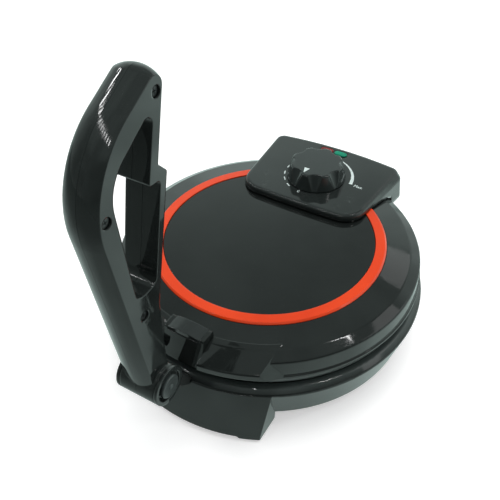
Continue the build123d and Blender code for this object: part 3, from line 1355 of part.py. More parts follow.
# ================================================================ lamps
with BuildPart() as lamp_red:
    with BuildSketch(Plane.XY.offset(BOX_TOP_Z - BOX_WALL)):
        with Locations((LAMP_MID_X - LAMP_X, LAMP_Y)):
            RectangleRounded(LAMP_LENGTH, LAMP_WIDTH, LAMP_CORNER_R)
    extrude(amount=BOX_WALL + LAMP_RISE)
    fillet(lamp_red.faces().sort_by(Axis.Z)[-1].edges(), radius=LAMP_RISE * 0.8)
    with BuildSketch(Plane.XY.offset(BOX_TOP_Z - BOX_WALL)):
        with Locations((LAMP_MID_X - LAMP_X, LAMP_Y)):
            RectangleRounded(LAMP_LENGTH + LAMP_FLANGE, LAMP_WIDTH + 2 * LAMP_FLANGE, LAMP_CORNER_R)
    extrude(amount=-LAMP_FLANGE)
lamp_red.part.label = "lamp_red"
export_step(lamp_red.part, "parts/lamp_red.step")

with BuildPart() as lamp_green:
    with BuildSketch(Plane.XY.offset(BOX_TOP_Z - BOX_WALL)):
        with Locations((LAMP_MID_X + LAMP_X, LAMP_Y)):
            RectangleRounded(LAMP_LENGTH, LAMP_WIDTH, LAMP_CORNER_R)
    extrude(amount=BOX_WALL + LAMP_RISE)
    fillet(lamp_green.faces().sort_by(Axis.Z)[-1].edges(), radius=LAMP_RISE * 0.8)
    with BuildSketch(Plane.XY.offset(BOX_TOP_Z - BOX_WALL)):
        with Locations((LAMP_MID_X + LAMP_X, LAMP_Y)):
            RectangleRounded(LAMP_LENGTH + LAMP_FLANGE, LAMP_WIDTH + 2 * LAMP_FLANGE, LAMP_CORNER_R)
    extrude(amount=-LAMP_FLANGE)
lamp_green.part.label = "lamp_green"
export_step(lamp_green.part, "parts/lamp_green.step")


# ================================================================ knob
KNOB_FOOT_Z = BOX_TOP_Z + KNOB_LIFT
KNOB_TOP_Z = KNOB_FOOT_Z + KNOB_HEIGHT
HUB_FOOT_Z = BOX_TOP_Z + NUT_HEIGHT + 1.0

with BuildPart() as knob:
    with BuildSketch(Plane.XZ.offset(-KNOB_Y)):
        with BuildLine():
            closed_outline(
                (0, KNOB_FOOT_Z, 0),
                (KNOB_R, KNOB_FOOT_Z, 0),
                (KNOB_TOP_R, KNOB_TOP_Z, 2.0),
                (0, KNOB_TOP_Z, 0),
            )
        make_face()
    revolve(axis=Axis((0, KNOB_Y, 0), (0, 0, 1)))
    with BuildSketch(Plane.XY.offset(KNOB_TOP_Z)):
        with Locations((0, KNOB_Y)):
            with PolarLocations(KNOB_TOP_R + SCALLOP_R - SCALLOP_DEPTH, SCALLOP_COUNT, start_angle=22.5):
                Circle(SCALLOP_R)
    extrude(amount=-KNOB_HEIGHT, taper=SCALLOP_TAPER, mode=Mode.SUBTRACT)
    with BuildSketch(Plane.XY.offset(KNOB_FOOT_Z)):
        with Locations((0, KNOB_Y)):
            Circle(KNOB_TOP_R - SCALLOP_DEPTH - 3)
            Circle(SPINDLE_R + 3, mode=Mode.SUBTRACT)
    extrude(amount=KNOB_HEIGHT - 3, mode=Mode.SUBTRACT)
    with BuildSketch(Plane.XY.offset(KNOB_FOOT_Z)):
        with Locations((0, KNOB_Y)):
            Circle(SPINDLE_R + 3.5)
    extrude(amount=HUB_FOOT_Z - KNOB_FOOT_Z, mode=Mode.SUBTRACT)
    with BuildSketch(Plane.XY.offset(KNOB_FOOT_Z)):
        with Locations((0, KNOB_Y)):
            Circle(SPINDLE_R)
    extrude(amount=KNOB_HEIGHT - 4, mode=Mode.SUBTRACT)
knob.part.label = "knob"
export_step(knob.part, "parts/knob.step")

with BuildPart() as thermostat_spindle:
    with BuildSketch(Plane.XY.offset(SPINDLE_FOOT_Z + 1)):
        with Locations((0, KNOB_Y)):
            Circle(SPINDLE_R)
    extrude(amount=KNOB_FOOT_Z + KNOB_HEIGHT - 4 - SPINDLE_FOOT_Z - 1)
thermostat_spindle.part.label = "thermostat_spindle"
export_step(thermostat_spindle.part, "parts/thermostat_spindle.step")


# ================================================================ handle
# Closed form of the handle: flat sides, a rounded back swept along the outer
# line, and the barrel across its foot.
with BuildPart() as handle_form:
    with BuildSketch(HANDLE_PLANE):
        with BuildLine():
            handle_outline()
        make_face()
    extrude(amount=HANDLE_HALF_WIDTH, both=True)
    with BuildLine(HANDLE_PLANE) as back_path:
        FilletPolyline(
            SPINE_FOOT,
            SPINE_BEND,
            HANDLE_TOP,
            (HANDLE_STEP_UP[0] - 1.8, HANDLE_STEP_UP[1] - 6.5),
            radius=[SPINE_BEND_R, HANDLE_TOP_R],
        )
    with BuildSketch(Plane(origin=back_path.line @ 0, x_dir=(1, 0, 0), z_dir=back_path.line % 0)):
        with BuildLine():
            ThreePointArc((-HANDLE_HALF_WIDTH, 0), (0, -SPINE_CROWN), (HANDLE_HALF_WIDTH, 0))
            Line((HANDLE_HALF_WIDTH, 0), (-HANDLE_HALF_WIDTH, 0))
        make_face()
    sweep(path=back_path.line)
    with BuildSketch(HANDLE_PLANE):
        with BuildLine():
            loop_outline()
        make_face()
    extrude(amount=HANDLE_HALF_WIDTH, both=True, mode=Mode.SUBTRACT)
    with BuildSketch(HANDLE_PLANE):
        Circle(BARREL_R)
    extrude(amount=BARREL_HALF_WIDTH, both=True)

# Everything taken out of that form, in the same place.
with BuildPart() as handle_inside:
    with BuildSketch(HANDLE_PLANE):
        with BuildLine():
            handle_outline()
        make_face()
        offset(amount=-HANDLE_WALL, kind=Kind.INTERSECTION)
    extrude(amount=HOLLOW_HALF_WIDTH, both=True)
    with BuildSketch(HANDLE_PLANE):
        with BuildLine():
            loop_outline()
        make_face()
        offset(amount=HANDLE_WALL, kind=Kind.INTERSECTION)
        with Locations(*HANDLE_SCREW_POINTS):
            Circle(HANDLE_BOSS_R)
        with Locations((0, HANDLE_HOLLOW_FOOT - TALL / 2)):
            Rectangle(TALL, TALL)
    extrude(amount=HANDLE_HALF_WIDTH, both=True, mode=Mode.SUBTRACT)
    # slot for the bracket arm's head and for the arm itself
    with BuildSketch(HANDLE_PLANE):
        Circle(ARM_HEAD_R + ARM_SLOT_GAP)
        with BuildLine():
            arm_sector()
        make_face()
        Rectangle(
            ARM_SLOT_REACH,
            2 * (ARM_HEAD_R + ARM_SLOT_GAP),
            rotation=ARM_LEAN + HANDLE_SWING - 90,
            align=(Align.MIN, Align.CENTER),
        )
    extrude(amount=ARM_HALF_WIDTH + ARM_SLOT_GAP, both=True)
    # pocket for the press cam
    with BuildSketch(HANDLE_PLANE):
        with BuildLine():
            cam_outline()
        make_face()
        offset(amount=FIT_GAP, kind=Kind.INTERSECTION)
        with Locations(CAM_PEG):
            Circle(CAM_PEG_R, mode=Mode.SUBTRACT)
    extrude(amount=CAM_HALF_WIDTH + FIT_GAP, both=True)
    # bore for the pin, recesses for the caps and grooves around the barrel
    with BuildSketch(HANDLE_PLANE):
        Circle(PIVOT_PIN_R)
    extrude(amount=BARREL_HALF_WIDTH, both=True)
    for side in (-1, 1):
        with BuildSketch(HANDLE_PLANE.offset(side * BARREL_HALF_WIDTH)):
            Circle(CAP_RECESS_R)
        extrude(amount=-side * CAP_RECESS_DEPTH)
        with BuildSketch(HANDLE_PLANE.offset(side * GROOVE_X)):
            Circle(BARREL_R + 1)
            Circle(BARREL_R - BARREL_GROOVE_DEPTH, mode=Mode.SUBTRACT)
        extrude(amount=side * GROOVE_WIDTH)
    # screw holes, with the heads sunk into the right-hand shell
    with BuildSketch(HANDLE_PLANE.offset(HANDLE_HALF_WIDTH - HANDLE_SCREW_SINK)):
        with Locations(*HANDLE_SCREW_POINTS):
            Circle(SCREW_HEAD_R + SCREW_PLAY)
    extrude(amount=HANDLE_SCREW_SINK)
    with BuildSketch(HANDLE_PLANE.offset(HANDLE_HALF_WIDTH - HANDLE_SCREW_SINK)):
        with Locations(*HANDLE_SCREW_POINTS):
            Circle(SCREW_R)
    extrude(amount=HANDLE_SCREW_SINK - 2 * HANDLE_HALF_WIDTH + HANDLE_WALL)

with BuildPart() as handle_left_shell:
    add(handle_form.part)
    add(handle_inside.part, mode=Mode.SUBTRACT)
    split(bisect_by=Plane.YZ, keep=Keep.BOTTOM)
handle_left_shell.part.label = "handle_left_shell"
export_step(handle_left_shell.part, "parts/handle_left_shell.step")

with BuildPart() as handle_right_shell:
    add(handle_form.part)
    add(handle_inside.part, mode=Mode.SUBTRACT)
    split(bisect_by=Plane.YZ, keep=Keep.TOP)
handle_right_shell.part.label = "handle_right_shell"
export_step(handle_right_shell.part, "parts/handle_right_shell.step")

with BuildPart() as press_cam:
    with BuildSketch(HANDLE_PLANE):
        with BuildLine():
            cam_outline()
        make_face()
        with Locations(CAM_PEG):
            Circle(CAM_PEG_R, mode=Mode.SUBTRACT)
    extrude(amount=CAM_HALF_WIDTH, both=True)
press_cam.part.label = "press_cam"
export_step(press_cam.part, "parts/press_cam.step")

with BuildPart() as handle_screws:
    with BuildSketch(HANDLE_PLANE.offset(HANDLE_HALF_WIDTH - HANDLE_SCREW_SINK)):
        with Locations(*HANDLE_SCREW_POINTS):
            Circle(SCREW_HEAD_R)
    extrude(amount=SCREW_HEAD_HEIGHT)
    with BuildSketch(HANDLE_PLANE.offset(HANDLE_HALF_WIDTH - HANDLE_SCREW_SINK)):
        with Locations(*HANDLE_SCREW_POINTS):
            Circle(SCREW_R)
    extrude(amount=HANDLE_SCREW_SINK - 2 * HANDLE_HALF_WIDTH + HANDLE_WALL)
handle_screws.part.label = "handle_screws"
export_step(handle_screws.part, "parts/handle_screws.step")

PIN_HALF_LENGTH = BARREL_HALF_WIDTH - CAP_RECESS_DEPTH

with BuildPart() as handle_pivot_pin:
    with BuildSketch(HANDLE_PLANE):
        Circle(PIVOT_PIN_R)
    extrude(amount=PIN_HALF_LENGTH, both=True)
handle_pivot_pin.part.label = "handle_pivot_pin"
export_step(handle_pivot_pin.part, "parts/handle_pivot_pin.step")

CAP_END_X = BARREL_HALF_WIDTH + CAP_RISE

with BuildPart() as pivot_caps:
    with BuildSketch(Plane(origin=(0, PIVOT_Y, PIVOT_Z), x_dir=(1, 0, 0), z_dir=(0, 0, 1))):
        with BuildLine():
            closed_outline(
                (PIN_HALF_LENGTH, 0, 0),
                (PIN_HALF_LENGTH, CAP_R, 0),
                (CAP_END_X, CAP_R, 1.2),
                (CAP_END_X, CAP_DIMPLE_R, 0.8),
                (CAP_END_X - 0.9, 0, 0),
            )
        make_face()
    revolve(axis=Axis((0, PIVOT_Y, PIVOT_Z), (1, 0, 0)))
    mirror(about=Plane.YZ)
pivot_caps.part.label = "pivot_caps"
export_step(pivot_caps.part, "parts/pivot_caps.step")
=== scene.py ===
import bpy
from math import cos, pi, radians, sin
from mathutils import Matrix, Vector


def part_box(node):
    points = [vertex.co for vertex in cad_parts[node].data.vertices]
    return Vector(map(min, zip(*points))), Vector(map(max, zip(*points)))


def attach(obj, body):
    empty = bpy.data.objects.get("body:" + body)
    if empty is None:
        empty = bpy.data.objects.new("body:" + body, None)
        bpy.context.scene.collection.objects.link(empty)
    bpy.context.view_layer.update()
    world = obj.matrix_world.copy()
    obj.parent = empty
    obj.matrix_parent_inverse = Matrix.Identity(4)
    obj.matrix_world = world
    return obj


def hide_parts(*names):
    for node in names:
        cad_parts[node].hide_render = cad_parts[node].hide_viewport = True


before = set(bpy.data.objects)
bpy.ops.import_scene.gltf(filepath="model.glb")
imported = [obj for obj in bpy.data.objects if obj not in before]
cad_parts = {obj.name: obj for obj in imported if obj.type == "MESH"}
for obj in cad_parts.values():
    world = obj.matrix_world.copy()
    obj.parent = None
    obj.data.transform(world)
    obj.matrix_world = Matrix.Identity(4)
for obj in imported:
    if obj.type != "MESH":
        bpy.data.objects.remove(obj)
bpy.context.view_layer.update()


# ---- base shell ------------------------------------------------------------
# The round base with its flared front and front feet, injection moulded in
# gloss black ABS.  The mould was polished, so only a slow ripple, hand smudges
# and fine dust break up the shine.
PLASTIC_IOR = 1.5
DUST_TONE = (0.11, 0.115, 0.11)
# painted sheen: a paler tone on the ledges in the gap between lid and base, standing in for light
# reflected there
PAINTED_GAP_SHEEN_TONE = (0.066, 0.076, 0.075)
RIM_BAND_R = 0.146   # the painted sheen between lid and base lies outside this radius
GAP_SHEEN_FADE = 0.001    # and its band fades out over this width
GLOSS_BLACK = ((0.008, 0.0092, 0.009), (0.012, 0.0142, 0.0136))


def start_finish(name):
    """A new material, its node tree, its shader and the coordinates of the piece."""
    finish = bpy.data.materials.new(name)
    finish.use_nodes = True
    tree = finish.node_tree
    here = tree.nodes.new("ShaderNodeTexCoord").outputs["Object"]
    return finish, tree, tree.nodes["Principled BSDF"], here


def clouds(tree, where, scale, detail, roughness=0.5, distortion=0.0):
    """Soft noise that drifts over the given coordinates."""
    noise = tree.nodes.new("ShaderNodeTexNoise")
    noise.inputs["Scale"].default_value = scale
    noise.inputs["Detail"].default_value = detail
    noise.inputs["Roughness"].default_value = roughness
    noise.inputs["Distortion"].default_value = distortion
    tree.links.new(where, noise.inputs["Vector"])
    return noise.outputs["Fac"]


def spread(tree, value, low, high, start=0.0, end=1.0, smooth=False):
    """Turn a value that runs from low to high into one that runs from start to end."""
    span = tree.nodes.new("ShaderNodeMapRange")
    if smooth:
        span.interpolation_type = "SMOOTHSTEP"
    span.inputs["From Min"].default_value = low
    span.inputs["From Max"].default_value = high
    span.inputs["To Min"].default_value = start
    span.inputs["To Max"].default_value = end
    tree.links.new(value, span.inputs["Value"])
    return span.outputs["Result"]


def specks(tree, where, scale, core, rim, strength):
    """Scattered grains, of the given strength at their core and gone at their rim."""
    cells = tree.nodes.new("ShaderNodeTexVoronoi")
    cells.inputs["Scale"].default_value = scale
    tree.links.new(where, cells.inputs["Vector"])
    return spread(tree, cells.outputs["Distance"], core, rim, strength, 0.0)


def two_tones(tree, value, low, dark, high, pale):
    """A colour that is dark up to low and pale from high on."""
    ramp = tree.nodes.new("ShaderNodeValToRGB")
    first, last = ramp.color_ramp.elements
    first.position = low
    first.color = (*dark, 1)
    last.position = high
    last.color = (*pale, 1)
    tree.links.new(value, ramp.inputs["Fac"])
    return ramp.outputs["Color"]


def lay_over(tree, share, under, over):
    """Lay one colour over another by a share.  Each is a tone or comes from a node."""
    mix = tree.nodes.new("ShaderNodeMix")
    mix.data_type = "RGBA"
    tree.links.new(share, mix.inputs["Factor"])
    for socket, colour in (("A", under), ("B", over)):
        if isinstance(colour, tuple):
            mix.inputs[socket].default_value = (*colour, 1)
        else:
            tree.links.new(colour, mix.inputs[socket])
    return mix.outputs["Result"]


def combine(tree, operation, first, second):
    """Multiply two values, or take the greater one."""
    result = tree.nodes.new("ShaderNodeMath")
    result.operation = operation
    tree.links.new(first, result.inputs[0])
    tree.links.new(second, result.inputs[1])
    return result.outputs["Value"]


def soft_edges(tree, radius, samples):
    """The piece's normals with its edges rounded to a radius."""
    edges = tree.nodes.new("ShaderNodeBevel")
    edges.samples = samples
    edges.inputs["Radius"].default_value = radius
    return edges.outputs["Normal"]


def emboss(tree, surface, height, strength, depth, normal=None):
    """Give a surface a fine relief, on top of its softened edges where it has them."""
    skin = tree.nodes.new("ShaderNodeBump")
    skin.inputs["Strength"].default_value = strength
    skin.inputs["Distance"].default_value = depth
    tree.links.new(height, skin.inputs["Height"])
    if normal is not None:
        tree.links.new(normal, skin.inputs["Normal"])
    tree.links.new(skin.outputs["Normal"], surface.inputs["Normal"])


def painted_gap_sheen(tree, here, begins, full, ends):
    """Share of the painted sheen in the gap between lid and base, by height and radius."""
    split = tree.nodes.new("ShaderNodeSeparateXYZ")
    tree.links.new(here, split.inputs["Vector"])
    flat = tree.nodes.new("ShaderNodeVectorMath")
    flat.operation = "MULTIPLY"
    flat.inputs[1].default_value = (1, 1, 0)
    tree.links.new(here, flat.inputs[0])
    reach = tree.nodes.new("ShaderNodeVectorMath")
    reach.operation = "LENGTH"
    tree.links.new(flat.outputs["Vector"], reach.inputs[0])
    above = spread(tree, split.outputs["Z"], low=begins, high=full, end=0.8)
    below = spread(tree, split.outputs["Z"], low=ends, high=ends + GAP_SHEEN_FADE, start=1.0, end=0.0)
    outside = spread(tree, reach.outputs["Value"], low=RIM_BAND_R, high=RIM_BAND_R + GAP_SHEEN_FADE)
    return combine(tree, "MULTIPLY", combine(tree, "MULTIPLY", above, below), outside)


def parting_line(tree, surface, here, edge, softened):
    """Seam of two shells at X = 0: it throws no light back, and stays a sharp line."""
    split = tree.nodes.new("ShaderNodeSeparateXYZ")
    tree.links.new(here, split.inputs["Vector"])
    aside = tree.nodes.new("ShaderNodeMath")
    aside.operation = "ABSOLUTE"
    tree.links.new(split.outputs["X"], aside.inputs[0])
    from_seam = aside.outputs["Value"]
    groove = spread(tree, from_seam, low=0.0001, high=0.0004, start=0.12, end=0.5, smooth=True)
    tree.links.new(groove, surface.inputs["Specular IOR Level"])
    # the softened edges keep away from the seam
    away = spread(tree, from_seam, low=1.2 * edge, high=1.5 * edge)
    facing = tree.nodes.new("ShaderNodeNewGeometry")
    kept = tree.nodes.new("ShaderNodeMix")
    kept.data_type = "VECTOR"
    tree.links.new(away, kept.inputs["Factor"])
    tree.links.new(facing.outputs["Normal"], kept.inputs["A"])
    tree.links.new(softened, kept.inputs["B"])
    return kept.outputs["Result"]


def moulded_plastic(name, dark, pale, polish, dull, ripple, edge, seam=False, ledge=None):
    """Glossy moulding: drifting tint, smudged gloss and the ripple of the mould."""
    finish, tree, surface, here = start_finish(name)
    surface.inputs["IOR"].default_value = PLASTIC_IOR
    drift = clouds(tree, here, scale=17.0, detail=4.0)
    tint = two_tones(tree, drift, low=0.32, dark=dark, high=0.72, pale=pale)
    dust = specks(tree, here, scale=210.0, core=0.02, rim=0.07, strength=0.35)
    colour = lay_over(tree, dust, tint, DUST_TONE)
    # where a ledge is given, its band in the gap gets painted sheen: a paler tone for reflected
    # light
    if ledge:
        colour = lay_over(tree, painted_gap_sheen(tree, here, *ledge), colour, PAINTED_GAP_SHEEN_TONE)
    tree.links.new(colour, surface.inputs["Base Color"])
    smudges = clouds(tree, here, scale=26.0, detail=7.0, roughness=0.62, distortion=0.8)
    gloss = spread(tree, smudges, low=0.4, high=0.72, start=polish, end=dull)
    tree.links.new(gloss, surface.inputs["Roughness"])
    normal = soft_edges(tree, edge, samples=8)
    if seam:
        normal = parting_line(tree, surface, here, edge, normal)
    wave = clouds(tree, here, scale=95.0, detail=2.0)
    emboss(tree, surface, wave, strength=ripple, depth=0.0004, normal=normal)
    return finish


def dress(node, finish):
    """Give a CAD node its finish."""
    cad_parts[node].material_slots[0].material = finish


# the ledge: heights at which its painted sheen begins, lies full and ends
base_black = moulded_plastic(
    "base_gloss_black", *GLOSS_BLACK, polish=0.03, dull=0.12, ripple=0.07, edge=0.0011,
    ledge=(0.0560, 0.0600, 0.0625),
)
dress("base_shell", base_black)


# ---- bottom cover ----------------------------------------------------------
# The flat cover that closes the base from below, with its rear feet.  It is
# moulded in the same plastic in a spark-eroded tool, which leaves a fine grain.
def grained_plastic(name, dark, pale, roughness, grain_scale, grain_depth):
    """Satin moulding with the leathery grain of a spark-eroded mould."""
    finish, tree, surface, here = start_finish(name)
    surface.inputs["IOR"].default_value = PLASTIC_IOR
    drift = clouds(tree, here, scale=30.0, detail=5.0)
    tint = two_tones(tree, drift, low=0.35, dark=dark, high=0.7, pale=pale)
    tree.links.new(tint, surface.inputs["Base Color"])
    rub = spread(tree, drift, low=0.35, high=0.7, start=roughness - 0.08, end=roughness + 0.08)
    tree.links.new(rub, surface.inputs["Roughness"])
    grain = clouds(tree, here, scale=grain_scale, detail=3.0)
    softened = soft_edges(tree, radius=0.0005, samples=4)
    emboss(tree, surface, grain, strength=0.5, depth=grain_depth, normal=softened)
    return finish


cover_black = grained_plastic(
    "cover_satin_black", (0.018, 0.019, 0.019), (0.028, 0.030, 0.030),
    roughness=0.42, grain_scale=1400.0, grain_depth=0.00012,
)
dress("base_bottom_cover", cover_black)
dress("hinge_bracket", cover_black)


# ---- foot pads -------------------------------------------------------------
# Four soft rubber pads, pressed into the feet so that the maker does not slide
# when the handle is pulled.  The rubber is matt and a little dusty.
pad_rubber = grained_plastic(
    "pad_rubber", (0.016, 0.016, 0.016), (0.034, 0.034, 0.033),
    roughness=0.78, grain_scale=2300.0, grain_depth=0.00018,
)
dress("foot_pads", pad_rubber)


# ---- heated plates ---------------------------------------------------------
# Two cast aluminium plates with a sprayed dark non-stick coating.  The coating
# is slightly mottled and carries tiny pale flecks.
COAT_DARK = (0.020, 0.020, 0.021)
COAT_PALE = (0.040, 0.041, 0.043)
FLECK_TONE = (0.16, 0.16, 0.165)

nonstick, tree, surface, here = start_finish("nonstick_coating")
mottle = clouds(tree, here, scale=55.0, detail=8.0, roughness=0.6)
coat = two_tones(tree, mottle, low=0.3, dark=COAT_DARK, high=0.75, pale=COAT_PALE)
flecks = specks(tree, here, scale=520.0, core=0.10, rim=0.16, strength=0.6)
tree.links.new(lay_over(tree, flecks, coat, FLECK_TONE), surface.inputs["Base Color"])
sheen = spread(tree, mottle, low=0.3, high=0.75, start=0.30, end=0.44)
tree.links.new(sheen, surface.inputs["Roughness"])
spray = clouds(tree, here, scale=900.0, detail=2.0)
emboss(tree, surface, spray, strength=0.35, depth=0.0001)
dress("lower_plate", nonstick)
dress("upper_plate", nonstick)


# ---- heating elements, heat shields and thermostat -------------------------
# Bent tubular elements of heat-darkened steel, pressed dishes of aluminised
# steel behind them, and the thermostat's plain steel can and nut.
def worked_steel(name, clean, stained, smooth, rough, grain_scale, grain):
    """Bare steel: rolled or drawn grain, with stains that dull the shine."""
    finish, tree, surface, here = start_finish(name)
    surface.inputs["Metallic"].default_value = 1.0
    stain = clouds(tree, here, scale=40.0, detail=6.0)
    tint = two_tones(tree, stain, low=0.3, dark=stained, high=0.66, pale=clean)
    tree.links.new(tint, surface.inputs["Base Color"])
    polish = spread(tree, stain, low=0.3, high=0.7, start=rough, end=smooth)
    tree.links.new(polish, surface.inputs["Roughness"])
    stretch = tree.nodes.new("ShaderNodeMapping")
    stretch.inputs["Scale"].default_value = grain_scale
    tree.links.new(here, stretch.inputs["Vector"])
    lines = clouds(tree, stretch.outputs["Vector"], scale=1.0, detail=3.0)
    emboss(tree, surface, lines, strength=grain, depth=0.0001)
    return finish


element_steel = worked_steel(
    "element_steel", (0.36, 0.33, 0.30), (0.14, 0.11, 0.10),
    smooth=0.34, rough=0.55, grain_scale=(900, 900, 900), grain=0.25,
)
shield_steel = worked_steel(
    "shield_steel", (0.62, 0.62, 0.60), (0.44, 0.43, 0.41),
    smooth=0.22, rough=0.38, grain_scale=(60, 1500, 900), grain=0.15,
)
for node in ("lower_element", "upper_element"):
    dress(node, element_steel)
for node in ("lower_heat_shield", "upper_heat_shield", "thermostat", "thermostat_nut"):
    dress(node, shield_steel)


# ---- terminal block --------------------------------------------------------
# A block of natural nylon behind the ends of the elements, where their wires are
# clamped.  It is a little yellowed by the heat.
terminal_nylon = grained_plastic(
    "terminal_nylon", (0.52, 0.48, 0.40), (0.66, 0.64, 0.58),
    roughness=0.5, grain_scale=900.0, grain_depth=0.0001,
)
dress("terminal_block", terminal_nylon)


# ---- screws ----------------------------------------------------------------
# Pan-head screws with a cross recess: zinc plated on the frame and black oxide
# in the handle.  Each stands where the drawing has its plain shank and head.
zinc_plate = worked_steel(
    "zinc_plate", (0.60, 0.60, 0.57), (0.42, 0.42, 0.40),
    smooth=0.24, rough=0.42, grain_scale=(700, 700, 700), grain=0.2,
)
black_oxide = worked_steel(
    "black_oxide", (0.070, 0.070, 0.072), (0.036, 0.036, 0.037),
    smooth=0.34, rough=0.5, grain_scale=(700, 700, 700), grain=0.2,
)
HEAD_R = 0.0040
HEAD_HEIGHT = 0.0024
HEAD_RINGS = (0.0006, 0.0008)   # two flat rings on the head, from its edge inwards
HEAD_ROUNDING = 0.0005
SHANK_R = 0.0020
TIP_LENGTH = 0.001
TIP_TAPER = 0.4
BLADE_SIZE = (0.0046, 0.0009, 0.0026)   # the driver blade that cuts half of the recess
BLADE_TAPER = 0.45

PLATE_SCREW_CIRCLE_R = 0.100
PLATE_SCREW_ANGLES = (45, 135, 225, 315)
COVER_SCREW_CIRCLE_R = 0.1392
COVER_SCREW_ANGLES = (30, 120, 210, 300)
ARM_SCREW_YS = (-0.125, -0.136)
HINGE_SCREW_XS = (-0.018, 0.018)
BLOCK_SCREW_XS = (-0.012, 0.012)
BLOCK_SCREW_Y = -0.140
HANDLE_SCREW_YZS = ((-0.157, 0.3435), (-0.2165, 0.285), (-0.201, 0.188))

HEAD_DOWN = (pi, 0, 0)
HEAD_TO_REAR = (-pi / 2, 0, 0)
HEAD_TO_RIGHT = (0, pi / 2, 0)


def drop_selection():
    """Leave nothing selected, so that the next operator touches only its own piece."""
    if bpy.context.object and bpy.context.object.mode == "EDIT":
        bpy.ops.object.mode_set(mode="OBJECT")
    bpy.ops.object.select_all(action="DESELECT")


def take_up(*pieces):
    """Select only these pieces, the first one being the one that is worked on."""
    drop_selection()
    for piece in pieces:
        piece.select_set(True)
    bpy.context.view_layer.objects.active = pieces[0]


def pick_faces(piece, wanted):
    """Select the faces of a piece in edit mode whose normal is as wanted."""
    bpy.ops.object.mode_set(mode="OBJECT")
    for vertex in piece.data.vertices:
        vertex.select = False
    for edge in piece.data.edges:
        edge.select = False
    for face in piece.data.polygons:
        face.select = wanted(face.normal)
    bpy.ops.object.mode_set(mode="EDIT")
    bpy.ops.mesh.select_mode(type="FACE")


def faces_up(normal):
    """Whether a face looks up."""
    return normal.z > 0.9


def faces_down(normal):
    """Whether a face looks down."""
    return normal.z < -0.9


def turn_screw(name, shank_length):
    """One pan-head screw at the origin, head up: its seat is at Z = 0."""
    drop_selection()
    bpy.ops.mesh.primitive_cylinder_add(
        vertices=32, radius=HEAD_R, depth=HEAD_HEIGHT, location=(0, 0, HEAD_HEIGHT / 2)
    )
    screw = bpy.context.object
    screw.name = name
    bpy.ops.object.transform_apply(location=True)
    bpy.ops.object.mode_set(mode="EDIT")
    pick_faces(screw, faces_up)
    for ring in HEAD_RINGS:
        bpy.ops.mesh.inset(thickness=ring)
    pick_faces(screw, faces_down)
    bpy.ops.mesh.inset(thickness=HEAD_R - SHANK_R)
    straight = {"value": (0, 0, TIP_LENGTH - shank_length)}
    bpy.ops.mesh.extrude_region_move(TRANSFORM_OT_translate=straight)
    tip = {"value": (0, 0, -TIP_LENGTH)}
    bpy.ops.mesh.extrude_region_move(TRANSFORM_OT_translate=tip)
    bpy.ops.transform.resize(value=(TIP_TAPER, TIP_TAPER, 1))
    bpy.ops.object.mode_set(mode="OBJECT")
    rounding = screw.modifiers.new("rounding", "BEVEL")
    rounding.width = HEAD_ROUNDING
    rounding.segments = 3
    rounding.limit_method = "ANGLE"
    rounding.angle_limit = radians(50)
    bpy.ops.object.modifier_apply(modifier=rounding.name)
    # the cross recess is cut with two crossed driver blades
    for quarter in (0, 90):
        drop_selection()
        bpy.ops.mesh.primitive_cube_add(size=1, location=(0, 0, HEAD_HEIGHT))
        blade = bpy.context.object
        blade.scale = BLADE_SIZE
        blade.rotation_euler.z = radians(quarter)
        bpy.ops.object.transform_apply(location=True, rotation=True, scale=True)
        bpy.ops.object.mode_set(mode="EDIT")
        pick_faces(blade, faces_down)
        bpy.ops.transform.resize(value=(BLADE_TAPER, BLADE_TAPER, 1))
        take_up(screw)
        cut = screw.modifiers.new("recess", "BOOLEAN")
        cut.operation = "DIFFERENCE"
        cut.solver = "EXACT"
        cut.object = blade
        bpy.ops.object.modifier_apply(modifier=cut.name)
        bpy.data.objects.remove(blade)
    bpy.ops.object.shade_smooth_by_angle(angle=radians(35))
    return screw


def lay_copy(pattern, place, turn):
    """A copy of a piece with its own mesh, turned and put in its place."""
    copy = pattern.copy()
    copy.data = pattern.data.copy()
    bpy.context.scene.collection.objects.link(copy)
    copy.rotation_euler = turn
    copy.location = place
    return copy


def set_screws(name, node, body, finish, shank_length, turn, places):
    """Copy one screw to every place, join the copies and let them stand for a node."""
    pattern = turn_screw(name + "_pattern", shank_length)
    pattern.data.materials.append(finish)
    copies = [lay_copy(pattern, place, turn) for place in places]
    bpy.data.objects.remove(pattern)
    take_up(*copies)
    bpy.ops.object.transform_apply(location=True, rotation=True, scale=True)
    bpy.ops.object.join()
    screws = bpy.context.object
    screws.name = name
    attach(screws, body)
    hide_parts(node)


def on_circle(radius, angles, z):
    """Places on a circle around the axis of the plates."""
    return [(radius * cos(radians(a)), radius * sin(radians(a)), z) for a in angles]


def seat(node):
    """Height at which the heads of a group of upright screws sit, from below."""
    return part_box(node)[0].z + HEAD_HEIGHT


def shank(node, axis="z"):
    """Length of the shanks of a group of screws."""
    low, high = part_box(node)
    return getattr(high, axis) - getattr(low, axis) - HEAD_HEIGHT


set_screws(
    "lower_plate_fixings", "lower_plate_screws", "base", zinc_plate,
    shank("lower_plate_screws"), HEAD_DOWN,
    on_circle(PLATE_SCREW_CIRCLE_R, PLATE_SCREW_ANGLES, seat("lower_plate_screws")),
)
set_screws(
    "base_cover_fixings", "base_screws", "base", zinc_plate,
    shank("base_screws"), HEAD_DOWN,
    on_circle(COVER_SCREW_CIRCLE_R, COVER_SCREW_ANGLES, seat("base_screws")),
)
set_screws(
    "arm_fixings", "bracket_screws", "base", zinc_plate,
    shank("bracket_screws"), HEAD_DOWN,
    [(0, y, seat("bracket_screws")) for y in ARM_SCREW_YS],
)
hinge_low, hinge_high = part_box("hinge_screws")
hinge_screw_z = (hinge_low.z + hinge_high.z) / 2
hinge_seat_y = hinge_high.y - HEAD_HEIGHT
set_screws(
    "hinge_fixings", "hinge_screws", "base", zinc_plate,
    shank("hinge_screws", "y"), HEAD_TO_REAR,
    [(x, hinge_seat_y, hinge_screw_z) for x in HINGE_SCREW_XS],
)
